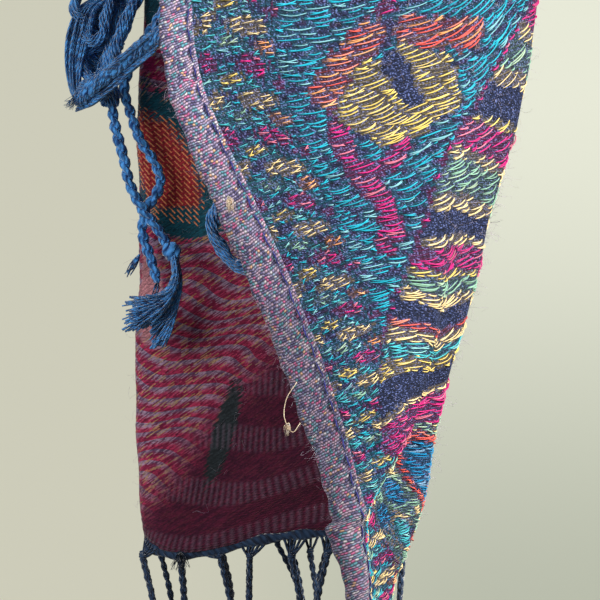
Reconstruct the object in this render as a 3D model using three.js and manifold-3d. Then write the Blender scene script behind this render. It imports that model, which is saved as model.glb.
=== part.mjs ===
// A pashmina scarf, hanging from its crosswise fold.
//
// The cloth is one woven length, hemmed along both long edges and fringed at both ends. It is folded in half
// across its length, so that it hangs as two falls: the outer fall, with the right side of the cloth
// outwards, and inside it the shorter inner fall. Both are then folded lengthwise together, so a cut at any
// height is one winding path: front layer, right fold, middle layer, left fold, rear layer, rear fold. Lower
// down the front layer draws in to a drooping corner, and the cloth it gives up gathers behind.
//
// Millimetres, +Z up. The origin is the middle of the top fold, where the scarf is held. The front faces -Y.
// A place on the cloth is (across, along): across runs from the front long edge to the rear one, and along
// runs from the outer fringed end, up the outer fall, over the top and down the inner fall.

import * as THREE from "three";
import Module from "manifold-3d";

const wasm = await Module();
wasm.setup();

// The cut.
const CLOTH_WIDTH = 350;
const CLOTH_LENGTH = 1680;
const WALL = 1.2; // thickness of the woven cloth
const HEM_WIDTH = 8; // turned and stitched long edges
const HEM_WALL = 1.5;
const SEAM_GAP = 0.45;
const HEADING = 3; // the close-set strip at each end, that the fringe leaves
const HEADING_WALL = 1.6;

// How it hangs.
const OUTER_DROP = 920; // from the top fold to the outer end
const TIP_DROOP = 42; // how much lower the front corner hangs
const TIP_WIDTH = 80; // how far across the cloth the droop reaches
const TIP_HEIGHT = 300; // how far up the cloth the droop reaches
const TOP_GAP = 4; // between the two falls at the top fold
const LOW_GAP = 7; // between the two falls at the inner end
const TOP_EDGE = -(TOP_GAP + WALL) / 2; // height at which the falls begin to turn over
const CROWN = 16; // how much lower the sides of the top fold hang than its held middle
const CROWN_WIDTH = 43;
const CROWN_REACH = 260; // how far down that can still be seen

// The fringe: warp ends twisted into cords, each with a knot and a tuft below it.
const FRINGE_PITCH = 9.7;
const CORD_LENGTH = 78;
const CORD_RADIUS = 1.5;
const KNOT_RADIUS = 2.8;
const CORD_SIDES = 3;

// The lengthwise folds at each height. selvedge is the front long edge. The front layer runs level with
// frontY to lipX and reaches its right fold at rightX and recessY: on a round where lip is 0, and by a sharp
// step back under an overhanging lip where it is 1. middleY is the depth of the middle layer, leftX the place
// of the left fold and rearY the depth of the rear layer, which flutes by ripple to each side. At rearX it
// folds back.
const FOLD_COLUMNS = [
  ...["z", "selvedgeX", "selvedgeY", "frontY", "lipX", "recessY", "rightX", "lip"],
  ...["middleY", "leftX", "rearY", "ripple", "rearX"],
];
const FOLDS = [
  [0, -43, -20, -23, 33, -13, 43, 0, -1, -43, 8, 0, 43],
  [-150, -45, -23, -28, 35, -16, 47, 0, 2, -46, 12, 0.5, 44],
  [-420, -48, -28, -35, 38, -19, 53, 0, 8, -51, 19, 1, 47],
  [-740, -49.5, -31, -39, 40, -23, 56.5, 0, 14, -56, 26, 1.5, 49],
  [-773, -48, -32, -40, 39, -24, 55.5, 0, 15, -56, 27.5, 2, 47],
  [-800, -44.5, -33, -41, 36, -24, 50.7, 0.1, 16, -56, 29, 3, 44],
  [-854, -21.5, -35, -42, 27, -21, 36.8, 0.5, 17, -56, 35, 7, 33],
  [-886, -9.5, -36, -41, 21, -19, 28, 1, 18, -56.5, 39, 9, 26],
  [-911, -1, -36, -39, 8, -18, 24.5, 0.9, 18, -56, 40, 10, 22],
  [-935, 3.5, -35, -37, 9, -17, 15.5, 0.4, 18, -52, 40, 10, 19],
  [-970, 9, -33, -34, 12, -15, 13.5, 0.2, 18, -51, 40, 10, 18],
].map((row) => Object.fromEntries(FOLD_COLUMNS.map((name, i) => [name, row[i]])));
const LEFT_DEPTH = 10; // front to back of the left fold
const REAR_DEPTH = 24; // front to back of the rear fold
const RIPPLES = 6;
const BACK_INSET = 14; // how far short of the left fold the folded back cloth turns once more
const BACK_DEPTH = 12; // front to back of that last turn

// The lower edge of the middle layer sags a little near its left fold.
const SAG = { across: 119, spread: 18, reach: 120, drop: 6.5 };

// Soft creases in the outer fall: where each is centred, its lean from upright in degrees, its half length,
// half width, and how far it stands out of (or, below 0, sinks into) the right side.
const CREASES = [
  { across: 30, along: 330, lean: 8, reach: 150, spread: 14, depth: 2 },
  { across: 70, along: 420, lean: -6, reach: 190, spread: 13, depth: -3 },
  { across: 52, along: 700, lean: 4, reach: 160, spread: 12, depth: 2 },
  { across: 104, along: 17, lean: 76, reach: 20, spread: 5, depth: -2 },
  { across: 255, along: 150, lean: -14, reach: 90, spread: 10, depth: 2 },
  { across: 300, along: 480, lean: 6, reach: 160, spread: 11, depth: 2 },
];

const smooth = (x) => {
  const t = Math.min(1, Math.max(0, x));
  return t * t * (3 - 2 * t);
};
const mix = (a, b, t) => a + (b - a) * t;

// The row of fold sizes at height z, on a smooth curve through the table.
function foldsAt(z) {
  const last = FOLDS.length - 2;
  let i = FOLDS.findIndex((row) => z > row.z) - 1;
  if (i < 0) i = z > FOLDS[0].z ? 0 : last;
  const [a, b] = [FOLDS[i], FOLDS[i + 1]];
  const [before, after] = [FOLDS[Math.max(0, i - 1)], FOLDS[Math.min(last + 1, i + 2)]];
  const span = b.z - a.z;
  const t = (z - a.z) / span;
  const row = {};
  for (const key of Object.keys(a)) {
    const slopeA = ((b[key] - before[key]) / (b.z - before.z)) * span;
    const slopeB = ((after[key] - a[key]) / (after.z - a.z)) * span;
    row[key] =
      (2 * t ** 3 - 3 * t ** 2 + 1) * a[key] +
      (t ** 3 - 2 * t ** 2 + t) * slopeA +
      (3 * t ** 2 - 2 * t ** 3) * b[key] +
      (t ** 3 - t ** 2) * slopeB;
  }
  return row;
}

// The corners of the winding path that the cloth follows at height z.
function foldCorners(z) {
  const f = foldsAt(z);
  const under = [
    mix((f.lipX + f.rightX) / 2, f.lipX, f.lip),
    mix((f.frontY + f.recessY) / 2, f.recessY, f.lip),
  ];
  const corners = [
    [f.selvedgeX, f.selvedgeY],
    [mix(f.selvedgeX, f.lipX, 0.5), f.frontY],
    [f.lipX, f.frontY],
    under,
    [f.rightX, f.recessY],
    [f.rightX, f.middleY],
    [f.leftX, f.middleY],
    [f.leftX, f.middleY + LEFT_DEPTH],
  ];
  for (let i = 1; i < RIPPLES - 1; i++) {
    corners.push([mix(f.leftX, f.rearX, i / RIPPLES), f.rearY + (i % 2 ? f.ripple : -f.ripple)]);
  }
  const backX = f.leftX + BACK_INSET;
  const backY = f.rearY + REAR_DEPTH;
  corners.push([f.rearX, f.rearY], [f.rearX, backY], [backX, backY], [backX, backY + BACK_DEPTH]);
  corners.push([backX + CLOTH_WIDTH, backY + BACK_DEPTH]);
  return corners.map(([x, y]) => new THREE.Vector2(x, y));
}

// The path itself: each corner is rounded by the largest arc that fits on half of its shorter side.
const ARC_STEPS = 10;
function foldPath(z) {
  const corners = foldCorners(z);
  const path = [corners[0]];
  for (let i = 1; i < corners.length - 1; i++) {
    const back = corners[i - 1].clone().sub(corners[i]);
    const ahead = corners[i + 1].clone().sub(corners[i]);
    const reach = Math.min(back.length(), ahead.length()) / 2;
    back.normalize();
    ahead.normalize();
    const half = Math.acos(THREE.MathUtils.clamp(back.dot(ahead), -1, 1)) / 2;
    if (half > Math.PI / 2 - 0.01) {
      path.push(corners[i]);
      continue;
    }
    const radius = reach * Math.tan(half);
    const inward = back.clone().add(ahead).normalize();
    const centre = corners[i].clone().addScaledVector(inward, reach / Math.cos(half));
    const first = corners[i].clone().addScaledVector(back, reach).sub(centre);
    const turn = (Math.PI - 2 * half) * Math.sign(-back.cross(ahead));
    for (let k = 0; k <= ARC_STEPS; k++) {
      const spoke = first.clone().rotateAround(new THREE.Vector2(), (turn * k) / ARC_STEPS).setLength(radius);
      path.push(centre.clone().add(spoke));
    }
  }
  path.push(corners[corners.length - 1]);
  return path;
}

// The point of the path at height z that is a given distance along it.
const pathCache = new Map();
function onPath(across, z) {
  const key = z.toFixed(2);
  if (!pathCache.has(key)) pathCache.set(key, foldPath(z));
  const path = pathCache.get(key);
  let left = across;
  for (let i = 1; i < path.length; i++) {
    const step = path[i].clone().sub(path[i - 1]);
    const length = step.length();
    if (left <= length || i === path.length - 1) {
      return path[i - 1].clone().addScaledVector(step, left / length);
    }
    left -= length;
  }
}

// As onPath, moved out of the right side of the cloth by an offset.
const TURN_SPAN = 1.5;
function offPath(across, z, offset) {
  const ends = [across - TURN_SPAN, across + TURN_SPAN].map((s) => onPath(Math.max(0, s), z));
  const run = ends[1].sub(ends[0]).normalize();
  return onPath(across, z).add(new THREE.Vector2(run.y, -run.x).multiplyScalar(offset));
}

// How far a place on the outer fall stands out of its right side.
function creaseAt(across, along) {
  return CREASES.reduce((sum, c) => {
    const lean = THREE.MathUtils.degToRad(c.lean);
    const [dx, dy] = [across - c.across, along - c.along];
    const up = (dx * Math.sin(lean) + dy * Math.cos(lean)) / c.reach;
    const side = (dx * Math.cos(lean) - dy * Math.sin(lean)) / c.spread;
    return sum + c.depth * Math.exp(-up * up - side * side);
  }, 0);
}

// Height of a place on the outer fall: level rows above, and a drooping corner and a sagging edge below.
function outerHeight(across, along) {
  const droop = TIP_DROOP * (1 - smooth(across / TIP_WIDTH)) * (1 - smooth(along / TIP_HEIGHT));
  const slack = Math.exp(-(((across - SAG.across) / SAG.spread) ** 2));
  const sag = SAG.drop * slack * (1 - smooth(along / SAG.reach));
  return along - OUTER_DROP - droop - sag;
}

const OUTER_END = OUTER_DROP + TOP_EDGE; // along, where the outer fall reaches the top fold
const TOP_ARC = (Math.PI * TOP_GAP) / 2;
const INNER_START = OUTER_END + TOP_ARC; // along, where the inner fall begins
const gapAt = (z) => mix(TOP_GAP, LOW_GAP, smooth(z / (TOP_EDGE - CLOTH_LENGTH + INNER_START)));

// The middle of the cloth's thickness at any place on it, before its weight draws the sides of the top down.
function hungPoint(across, along) {
  if (along <= OUTER_END) {
    const z = outerHeight(across, along);
    const p = offPath(across, z, creaseAt(across, along));
    return new THREE.Vector3(p.x, p.y, z);
  }
  if (along < INNER_START) {
    const turn = ((along - OUTER_END) / TOP_ARC) * Math.PI;
    const p = offPath(across, TOP_EDGE, (-TOP_GAP / 2) * (1 - Math.cos(turn)));
    return new THREE.Vector3(p.x, p.y, TOP_EDGE + (TOP_GAP / 2) * Math.sin(turn));
  }
  const z = TOP_EDGE - (along - INNER_START);
  const p = offPath(across, z, -gapAt(z));
  return new THREE.Vector3(p.x, p.y, z);
}

function clothPoint(across, along) {
  const p = hungPoint(across, along);
  p.z -= CROWN * (p.x / CROWN_WIDTH) ** 2 * smooth(1 + p.z / CROWN_REACH);
  return p;
}

// Direction out of the right side of the cloth at a place on it.
const PROBE = 1.5;
function clothOut(across, along) {
  const [s0, s1] = [Math.max(0, across - PROBE), Math.min(CLOTH_WIDTH, across + PROBE)];
  const a = clothPoint(s1, along).sub(clothPoint(s0, along));
  const b = clothPoint(across, along + PROBE).sub(clothPoint(across, along - PROBE));
  return a.cross(b).normalize();
}

// A closed wall over a grid of places on the cloth.
function clothWall(acrossList, alongList, thickness) {
  const columns = acrossList.length;
  const rows = alongList.length;
  const positions = [];
  for (const side of [0.5, -0.5])
    for (const along of alongList)
      for (const across of acrossList) {
        const p = clothPoint(across, along).addScaledVector(clothOut(across, along), side * thickness);
        positions.push(p.x, p.y, p.z);
      }
  const at = (side, row, column) => side * rows * columns + row * columns + column;
  const index = [];
  const quad = (a, b, c, d) => index.push(a, b, c, a, c, d);
  for (let r = 0; r < rows - 1; r++)
    for (let c = 0; c < columns - 1; c++) {
      quad(at(0, r, c), at(0, r, c + 1), at(0, r + 1, c + 1), at(0, r + 1, c));
      quad(at(1, r, c), at(1, r + 1, c), at(1, r + 1, c + 1), at(1, r, c + 1));
    }
  for (let c = 0; c < columns - 1; c++) {
    quad(at(1, 0, c), at(1, 0, c + 1), at(0, 0, c + 1), at(0, 0, c));
    quad(at(1, rows - 1, c), at(0, rows - 1, c), at(0, rows - 1, c + 1), at(1, rows - 1, c + 1));
  }
  for (let r = 0; r < rows - 1; r++) {
    quad(at(1, r, 0), at(0, r, 0), at(0, r + 1, 0), at(1, r + 1, 0));
    const end = columns - 1;
    quad(at(1, r, end), at(1, r + 1, end), at(0, r + 1, end), at(0, r, end));
  }
  const geometry = new THREE.BufferGeometry();
  geometry.setAttribute("position", new THREE.Float32BufferAttribute(positions, 3));
  geometry.setIndex(index);
  return geometry;
}

// count + 1 values from a to b, closer together near a where power is over 1.
const spaced = (a, b, count, power = 1) =>
  Array.from({ length: count + 1 }, (_, i) => mix(a, b, (i / count) ** power));

const PANEL_COLUMNS = 52;
const panelAcross = spaced(HEM_WIDTH + SEAM_GAP, CLOTH_WIDTH - HEM_WIDTH - SEAM_GAP, PANEL_COLUMNS);

// Rows of the falls. The upper ones stand at the same heights in both, so the layers keep their distance.
const SHARED_HEIGHTS = [-700, -640, -580, -520, -460, -400, -340, -270, -200, -130, -60];
const LOW_ROWS = 15;
const outerAlong = [
  ...spaced(0, OUTER_DROP - 750, LOW_ROWS, 1.35),
  ...SHARED_HEIGHTS.map((z) => z + OUTER_DROP),
  OUTER_END,
];
const topAlong = spaced(OUTER_END + SEAM_GAP, INNER_START - SEAM_GAP, 4);
const innerAlong = [
  INNER_START,
  ...SHARED_HEIGHTS.map((z) => INNER_START + TOP_EDGE - z).reverse(),
  CLOTH_LENGTH - 30,
  CLOTH_LENGTH,
];
const hemAlong = [...outerAlong, ...spaced(OUTER_END, INNER_START, 4).slice(1), ...innerAlong.slice(1)];

function solidOf(geometry) {
  return new wasm.Manifold(
    new wasm.Mesh({
      numProp: 3,
      vertProperties: new Float32Array(geometry.attributes.position.array),
      triVerts: new Uint32Array(geometry.index.array),
    }),
  );
}

function geometryOf(solid) {
  const mesh = solid.getMesh();
  const geometry = new THREE.BufferGeometry();
  geometry.setAttribute("position", new THREE.BufferAttribute(mesh.vertProperties.slice(), 3));
  geometry.setIndex(new THREE.BufferAttribute(mesh.triVerts.slice(), 1));
  return geometry;
}

// One twisted cord, as a tube of few sides whose radius swells at the knot and flares at the tuft.
function cordSolid(points, radii) {
  const positions = [];
  points.forEach((p, i) => {
    for (let k = 0; k < CORD_SIDES; k++) {
      const angle = (2 * Math.PI * k) / CORD_SIDES;
      positions.push(p.x + radii[i] * Math.cos(angle), p.y + radii[i] * Math.sin(angle), p.z);
    }
  });
  const index = [];
  for (let i = 0; i < points.length - 1; i++)
    for (let k = 0; k < CORD_SIDES; k++) {
      const [a, b] = [i * CORD_SIDES + k, i * CORD_SIDES + ((k + 1) % CORD_SIDES)];
      index.push(a, a + CORD_SIDES, b + CORD_SIDES, a, b + CORD_SIDES, b);
    }
  const end = (points.length - 1) * CORD_SIDES;
  for (let k = 1; k < CORD_SIDES - 1; k++) index.push(0, k, k + 1, end, end + k + 1, end + k);
  const geometry = new THREE.BufferGeometry();
  geometry.setAttribute("position", new THREE.Float32BufferAttribute(positions, 3));
  geometry.setIndex(index);
  return solidOf(geometry);
}

// Even, repeatable scatter from -1 to 1.
const scatter = (n) => 2 * (Math.abs(Math.sin(n * 12.9898 + 4.1414) * 43758.5453) % 1) - 1;

// A hanging cord's stations: share of its length, and radius. The last three are the knot and the tuft.
const STATIONS = [
  { share: 0, radius: CORD_RADIUS },
  { share: 0.5, radius: CORD_RADIUS },
  { share: 0.95, radius: CORD_RADIUS },
  { share: 1.0, radius: KNOT_RADIUS },
  { share: 1.05, radius: CORD_RADIUS * 0.9 },
  { share: 1.16, radius: KNOT_RADIUS * 0.9 },
];
const OUTER_SWAY = 2;

// The outer fringe hangs straight from its roots, with a little sway.
function outerRoute(i, across, rootAlong) {
  const root = clothPoint(across, rootAlong);
  const sway = [scatter(2 * i) * OUTER_SWAY, scatter(2 * i + 1) * OUTER_SWAY];
  return STATIONS.map(({ share }) => {
    const bend = share ** 2;
    return new THREE.Vector3(root.x + sway[0] * bend, root.y + sway[1] * bend, root.z - share * CORD_LENGTH);
  });
}

// The inner fringe hangs in the folds of the outer fall, whose right fold draws it in to the left and whose
// fluted rear layer pushes it back.
const POCKET_MARGIN = 10;
function innerRoute(i, across, rootAlong) {
  const root = clothPoint(across, rootAlong);
  const pocketAt = (z) => foldsAt(z).rightX - POCKET_MARGIN;
  const crestAt = (z) => foldsAt(z).rearY + foldsAt(z).ripple;
  const behind = root.y > foldsAt(root.z).middleY + LEFT_DEPTH;
  return STATIONS.map(({ share }) => {
    const z = root.z - share * CORD_LENGTH;
    const squeeze = root.x > 0 ? pocketAt(z) / pocketAt(root.z) : 1;
    const push = behind ? crestAt(z) - crestAt(root.z) : 0;
    return new THREE.Vector3(root.x * squeeze, root.y + push + (i % 2) * 3 * share, z);
  });
}

// The heading strip at one end and its cords, as one body. beyond points off the end of the cloth.
function fringe(endAlong, beyond, routeOf) {
  const count = Math.round(CLOTH_WIDTH / FRINGE_PITCH);
  const columns = spaced(0, CLOTH_WIDTH, PANEL_COLUMNS);
  const strip = [SEAM_GAP, SEAM_GAP + HEADING].map((d) => endAlong + beyond * d).sort((a, b) => a - b);
  const roots = endAlong + beyond * (SEAM_GAP + HEADING / 2);
  let body = solidOf(clothWall(columns, strip, HEADING_WALL));
  for (let i = 0; i < count; i++) {
    const across = (i + 0.5) * (CLOTH_WIDTH / count);
    body = body.add(cordSolid(routeOf(i, across, roots), STATIONS.map((s) => s.radius)));
  }
  return geometryOf(body);
}

const cloth = (color) =>
  new THREE.MeshStandardMaterial({ color, roughness: 0.85, metalness: 0, side: THREE.DoubleSide });
const TEAL = 0x1c7c93;
const DEEP_TEAL = 0x1b6a80;
const MAUVE = 0x8a7d99;
const NAVY = 0x1f3f73;

const scarf = new THREE.Group();
function add(name, geometry, material) {
  const mesh = new THREE.Mesh(geometry, material);
  mesh.name = name;
  scarf.add(mesh);
}

add("outer_fall", clothWall(panelAcross, outerAlong, WALL), cloth(TEAL));
add("top_fold", clothWall(panelAcross, topAlong, WALL), cloth(TEAL));
add("inner_fall", clothWall(panelAcross, innerAlong, WALL), cloth(DEEP_TEAL));
const frontHemAcross = spaced(0, HEM_WIDTH, 3);
const rearHemAcross = spaced(CLOTH_WIDTH - HEM_WIDTH, CLOTH_WIDTH, 3);
add("front_hem", clothWall(frontHemAcross, hemAlong, HEM_WALL), cloth(MAUVE));
add("rear_hem", clothWall(rearHemAcross, hemAlong, HEM_WALL), cloth(MAUVE));
add("outer_fringe", fringe(0, -1, outerRoute), cloth(NAVY));
add("inner_fringe", fringe(CLOTH_LENGTH, 1, innerRoute), cloth(NAVY));

export default scarf;
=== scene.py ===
# %% [markdown]
# # A hanging pashmina scarf
#
# This lesson dresses a plain solid model of a folded scarf: the cloth becomes a thin woven sheet with a
# jacquard pattern, the fringe becomes twisted yarn, and wool fuzz stands out along the edges. Every
# length in the tables is in millimetres, as on the cutting table; meshes are made in metres.

import math

import bpy
import numpy as np
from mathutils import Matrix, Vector


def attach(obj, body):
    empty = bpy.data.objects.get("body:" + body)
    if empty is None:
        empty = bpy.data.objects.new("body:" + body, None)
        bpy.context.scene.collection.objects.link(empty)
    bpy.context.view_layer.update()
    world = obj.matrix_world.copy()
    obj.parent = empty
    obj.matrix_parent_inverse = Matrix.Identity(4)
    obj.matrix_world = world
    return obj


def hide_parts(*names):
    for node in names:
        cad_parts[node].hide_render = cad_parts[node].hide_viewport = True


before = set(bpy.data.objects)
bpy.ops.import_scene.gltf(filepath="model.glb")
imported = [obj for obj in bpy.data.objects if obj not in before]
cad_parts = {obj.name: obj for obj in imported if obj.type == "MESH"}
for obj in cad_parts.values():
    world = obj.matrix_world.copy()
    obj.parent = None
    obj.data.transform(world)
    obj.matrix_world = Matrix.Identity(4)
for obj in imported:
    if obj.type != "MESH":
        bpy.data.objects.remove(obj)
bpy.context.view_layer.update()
MM = 0.001
rng = np.random.default_rng(7)
print("nodes:", sorted(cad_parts))

# %% [markdown]
# ## Camera
#
# A long lens keeps the front and rear layers at nearly the same scale, as a close-up of a hanging cloth
# has them. The camera looks level along +Y at the lower end of the front layer.

# %% Camera
VIEW_WIDTH = 162
VIEW_CENTRE = (-9.7, -854)
VIEW_PLANE_Y = -38
CAMERA_DISTANCE = 900
SENSOR = 36

camera_data = bpy.data.cameras.new("camera")
camera = bpy.data.objects.new("camera", camera_data)
bpy.context.collection.objects.link(camera)
bpy.context.scene.camera = camera
camera_data.sensor_width = SENSOR
camera_data.lens = SENSOR * CAMERA_DISTANCE / VIEW_WIDTH
camera.location = Vector((VIEW_CENTRE[0], VIEW_PLANE_Y - CAMERA_DISTANCE, VIEW_CENTRE[1])) * MM
camera.rotation_euler = (math.radians(90), 0, 0)
camera_data.clip_start = 0.05
camera_data.clip_end = 20
print("lens", round(camera_data.lens))

# %% [markdown]
# ## One arithmetic for numbers and for shaders
#
# The pattern is needed twice: by the shader that paints the weave, and by the code that lays real yarns
# on top of it. It could be written twice, or baked into an image. Here it is written once, in functions
# that take either arrays of numbers or sockets of shader nodes, so that both always agree.

# %% Socket arithmetic


class Sock:
    """The output of a shader node, which can be added, multiplied and so on."""

    def __init__(self, tree, socket):
        self.tree, self.socket = tree, socket

    def math(self, operation, *others):
        node = self.tree.nodes.new("ShaderNodeMath")
        node.operation = operation
        for place, value in zip(node.inputs, (self, *others)):
            connect(self.tree, value, place)
        return Sock(self.tree, node.outputs[0])

    def __add__(self, other):
        return self.math("ADD", other)

    def __sub__(self, other):
        return self.math("SUBTRACT", other)

    def __mul__(self, other):
        return self.math("MULTIPLY", other)

    def __truediv__(self, other):
        return self.math("DIVIDE", other)

    def __neg__(self):
        return self.math("MULTIPLY", -1.0)

    __radd__ = __add__
    __rmul__ = __mul__

    def __rsub__(self, other):
        return (-self) + other

    def __rtruediv__(self, other):
        return self.math("POWER", -1.0) * other


def connect(tree, value, place):
    """Links a socket to an input, or sets the input to a plain value."""
    if isinstance(value, Sock):
        tree.links.new(value.socket, place)
    else:
        place.default_value = value


def either(operation, in_numpy):
    """A function that works on numbers and on sockets."""

    def apply(x, *others):
        if isinstance(x, Sock):
            return x.math(operation, *others)
        return in_numpy(x, *others)

    return apply


floor = either("FLOOR", np.floor)
sine = either("SINE", np.sin)
cosine = either("COSINE", np.cos)
size_of = either("ABSOLUTE", np.abs)
least = either("MINIMUM", np.minimum)
most = either("MAXIMUM", np.maximum)
root = either("SQRT", np.sqrt)
bearing = either("ARCTAN2", np.arctan2)
power = either("POWER", np.power)
over = either("GREATER_THAN", lambda x, y: np.asarray(x > y, float))
under = either("LESS_THAN", lambda x, y: np.asarray(x < y, float))


def part_of(x):
    return x - floor(x)


def soft_step(x, low, high):
    """0 below low, 1 above high, and a smooth rise between."""
    t = least(most((x - low) / (high - low), 0.0), 1.0)
    return t * t * (3.0 - 2.0 * t)


def scatter(x, y=0.0):
    """A repeatable number from 0 to 1 for each pair of whole numbers."""
    return part_of(sine(x * 12.9898 + y * 78.233) * 4375.85)


# %% [markdown]
# ## Hanging shape of the cloth
#
# A cut through the folded scarf at any height is one winding path. The table gives the places of its
# folds, and the path between them is rounded by arcs. A place on the cloth is (across, along): across
# runs from the front hem to the rear one, along from the outer fringed end over the top to the inner
# end.

# %% Folds of the cloth
CLOTH_WIDTH = 350
CLOTH_LENGTH = 1680
OUTER_DROP = 920
TIP_DROOP = 42
TIP_WIDTH = 80
TIP_HEIGHT = 300
TOP_GAP = 4
LOW_GAP = 7
CAD_WALL = 1.2
TOP_EDGE = -(TOP_GAP + CAD_WALL) / 2
CROWN = 16
CROWN_WIDTH = 43
CROWN_REACH = 260
LEFT_DEPTH = 10
REAR_DEPTH = 24
RIPPLES = 6
BACK_INSET = 14
BACK_DEPTH = 12

FOLD_COLUMNS = "z selvedgeX selvedgeY frontY lipX recessY rightX lip middleY leftX rearY ripple rearX"
FOLD_COLUMNS = FOLD_COLUMNS.split()
FOLDS = np.array([
    (0, -43, -20, -23, 33, -13, 43, 0, -1, -43, 8, 0, 43),
    (-150, -45, -23, -28, 35, -16, 47, 0, 2, -46, 12, 0.5, 44),
    (-420, -48, -28, -35, 38, -19, 53, 0, 8, -51, 19, 1, 47),
    (-740, -49.5, -31, -39, 40, -23, 56.5, 0, 14, -56, 26, 1.5, 49),
    (-773, -48, -32, -40, 39, -24, 55.5, 0, 15, -56, 27.5, 2, 47),
    (-800, -44.5, -33, -41, 36, -24, 50.7, 0.1, 16, -56, 29, 3, 44),
    (-854, -21.5, -35, -42, 27, -21, 36.8, 0.5, 17, -56, 35, 7, 33),
    (-886, -9.5, -36, -41, 21, -19, 28, 1, 18, -56.5, 39, 9, 26),
    (-911, -1, -36, -39, 8, -18, 24.5, 0.9, 18, -56, 40, 10, 22),
    (-935, 3.5, -35, -37, 9, -17, 15.5, 0.4, 18, -52, 40, 10, 19),
    (-970, 9, -33, -34, 12, -15, 13.5, 0.2, 18, -51, 40, 10, 18),
])

SAG = {"across": 119, "spread": 18, "reach": 120, "drop": 6.5}
CREASE_COLUMNS = "across along lean reach spread depth".split()
CREASES = [
    (30, 330, 8, 150, 14, 2),
    (70, 420, -6, 190, 13, -3),
    (52, 700, 4, 160, 12, 2),
    (104, 17, 76, 20, 5, -2),
    (255, 150, -14, 90, 10, 2),
    (300, 480, 6, 160, 11, 2),
]


def lengths_along(points):
    """The length along a line of points, up to each of them."""
    steps = np.linalg.norm(np.diff(points, axis=0), axis=1)
    return np.concatenate([[0], np.cumsum(steps)])


def smooth_curve(a, b, slope_a, slope_b, t):
    """From a, where t is 0, to b, where t is 1, leaving and arriving at the given slopes."""
    start = (2 * t**3 - 3 * t**2 + 1) * a + (t**3 - 2 * t**2 + t) * slope_a
    return start + (3 * t**2 - 2 * t**3) * b + (t**3 - t**2) * slope_b


def folds_at(z):
    """The fold sizes at height z, on a smooth curve through the table."""
    heights = FOLDS[:, 0]
    i = int(np.clip(np.searchsorted(-heights, -z) - 1, 0, len(heights) - 2))
    before, after = max(0, i - 1), min(len(heights) - 1, i + 2)
    span = heights[i + 1] - heights[i]
    slope_a = (FOLDS[i + 1] - FOLDS[before]) / (heights[i + 1] - heights[before]) * span
    slope_b = (FOLDS[after] - FOLDS[i]) / (heights[after] - heights[i]) * span
    row = smooth_curve(FOLDS[i], FOLDS[i + 1], slope_a, slope_b, (z - heights[i]) / span)
    return dict(zip(FOLD_COLUMNS, row))


def mix(a, b, t):
    return a + (b - a) * t


def fold_corners(z):
    """The corners of the winding path at height z."""
    f = folds_at(z)
    under_lip = (
        mix((f["lipX"] + f["rightX"]) / 2, f["lipX"], f["lip"]),
        mix((f["frontY"] + f["recessY"]) / 2, f["recessY"], f["lip"]),
    )
    corners = [
        (f["selvedgeX"], f["selvedgeY"]),
        (mix(f["selvedgeX"], f["lipX"], 0.5), f["frontY"]),
        (f["lipX"], f["frontY"]),
        under_lip,
        (f["rightX"], f["recessY"]),
        (f["rightX"], f["middleY"]),
        (f["leftX"], f["middleY"]),
        (f["leftX"], f["middleY"] + LEFT_DEPTH),
    ]
    for i in range(1, RIPPLES - 1):
        side = f["ripple"] if i % 2 else -f["ripple"]
        corners.append((mix(f["leftX"], f["rearX"], i / RIPPLES), f["rearY"] + side))
    back_x = f["leftX"] + BACK_INSET
    back_y = f["rearY"] + REAR_DEPTH
    corners += [(f["rearX"], f["rearY"]), (f["rearX"], back_y), (back_x, back_y)]
    corners += [(back_x, back_y + BACK_DEPTH), (back_x + CLOTH_WIDTH, back_y + BACK_DEPTH)]
    return np.array(corners)


ARC_STEPS = 10
STRAIGHT = math.pi / 2 - 0.01


def fold_path(z):
    """The path itself: each corner is rounded by the largest arc that fits half of its shorter side."""
    corners = fold_corners(z)
    path = [corners[0]]
    for before, corner, after in zip(corners, corners[1:], corners[2:]):
        back, ahead = before - corner, after - corner
        reach = min(np.hypot(*back), np.hypot(*ahead)) / 2
        back, ahead = back / np.hypot(*back), ahead / np.hypot(*ahead)
        half = math.acos(np.clip(back @ ahead, -1, 1)) / 2
        if half > STRAIGHT:
            path.append(corner)
            continue
        middle = back + ahead
        centre = corner + middle / np.hypot(*middle) * reach / math.cos(half)
        spoke = corner + back * reach - centre
        turn = (math.pi - 2 * half) * np.sign(-(back[0] * ahead[1] - back[1] * ahead[0]))
        for k in range(ARC_STEPS + 1):
            c, s = math.cos(turn * k / ARC_STEPS), math.sin(turn * k / ARC_STEPS)
            path.append(centre + (spoke[0] * c - spoke[1] * s, spoke[0] * s + spoke[1] * c))
    path.append(corners[-1])
    return np.array(path)


HEIGHT_STEP = 2
LOWEST = -980
LAST_CELL = 1.001
MARGIN = 8
path_heights = np.arange(LOWEST, 2 * HEIGHT_STEP, HEIGHT_STEP)
path_places = np.arange(0, CLOTH_WIDTH + MARGIN + 1)


def measured_path(z):
    """Points one millimetre apart along the path at height z."""
    path = fold_path(z)
    lengths = np.hypot(*np.diff(path, axis=0).T)
    distance = np.concatenate([[0], np.cumsum(lengths)])
    return np.stack([np.interp(path_places, distance, path[:, k]) for k in (0, 1)], axis=-1)


PATHS = np.array([measured_path(z) for z in path_heights])
print("paths", PATHS.shape)


def on_path(across, z):
    """x and y on the paths, between the measured points."""
    row = np.clip((z - LOWEST) / HEIGHT_STEP, 0, len(path_heights) - LAST_CELL)
    column = np.clip(across, 0, len(path_places) - LAST_CELL)
    r, c = row.astype(int), column.astype(int)
    u, v = (row - r)[..., None], (column - c)[..., None]
    low = PATHS[r, c] * (1 - v) + PATHS[r, c + 1] * v
    high = PATHS[r + 1, c] * (1 - v) + PATHS[r + 1, c + 1] * v
    return low * (1 - u) + high * u


TURN_SPAN = 1.5


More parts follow.
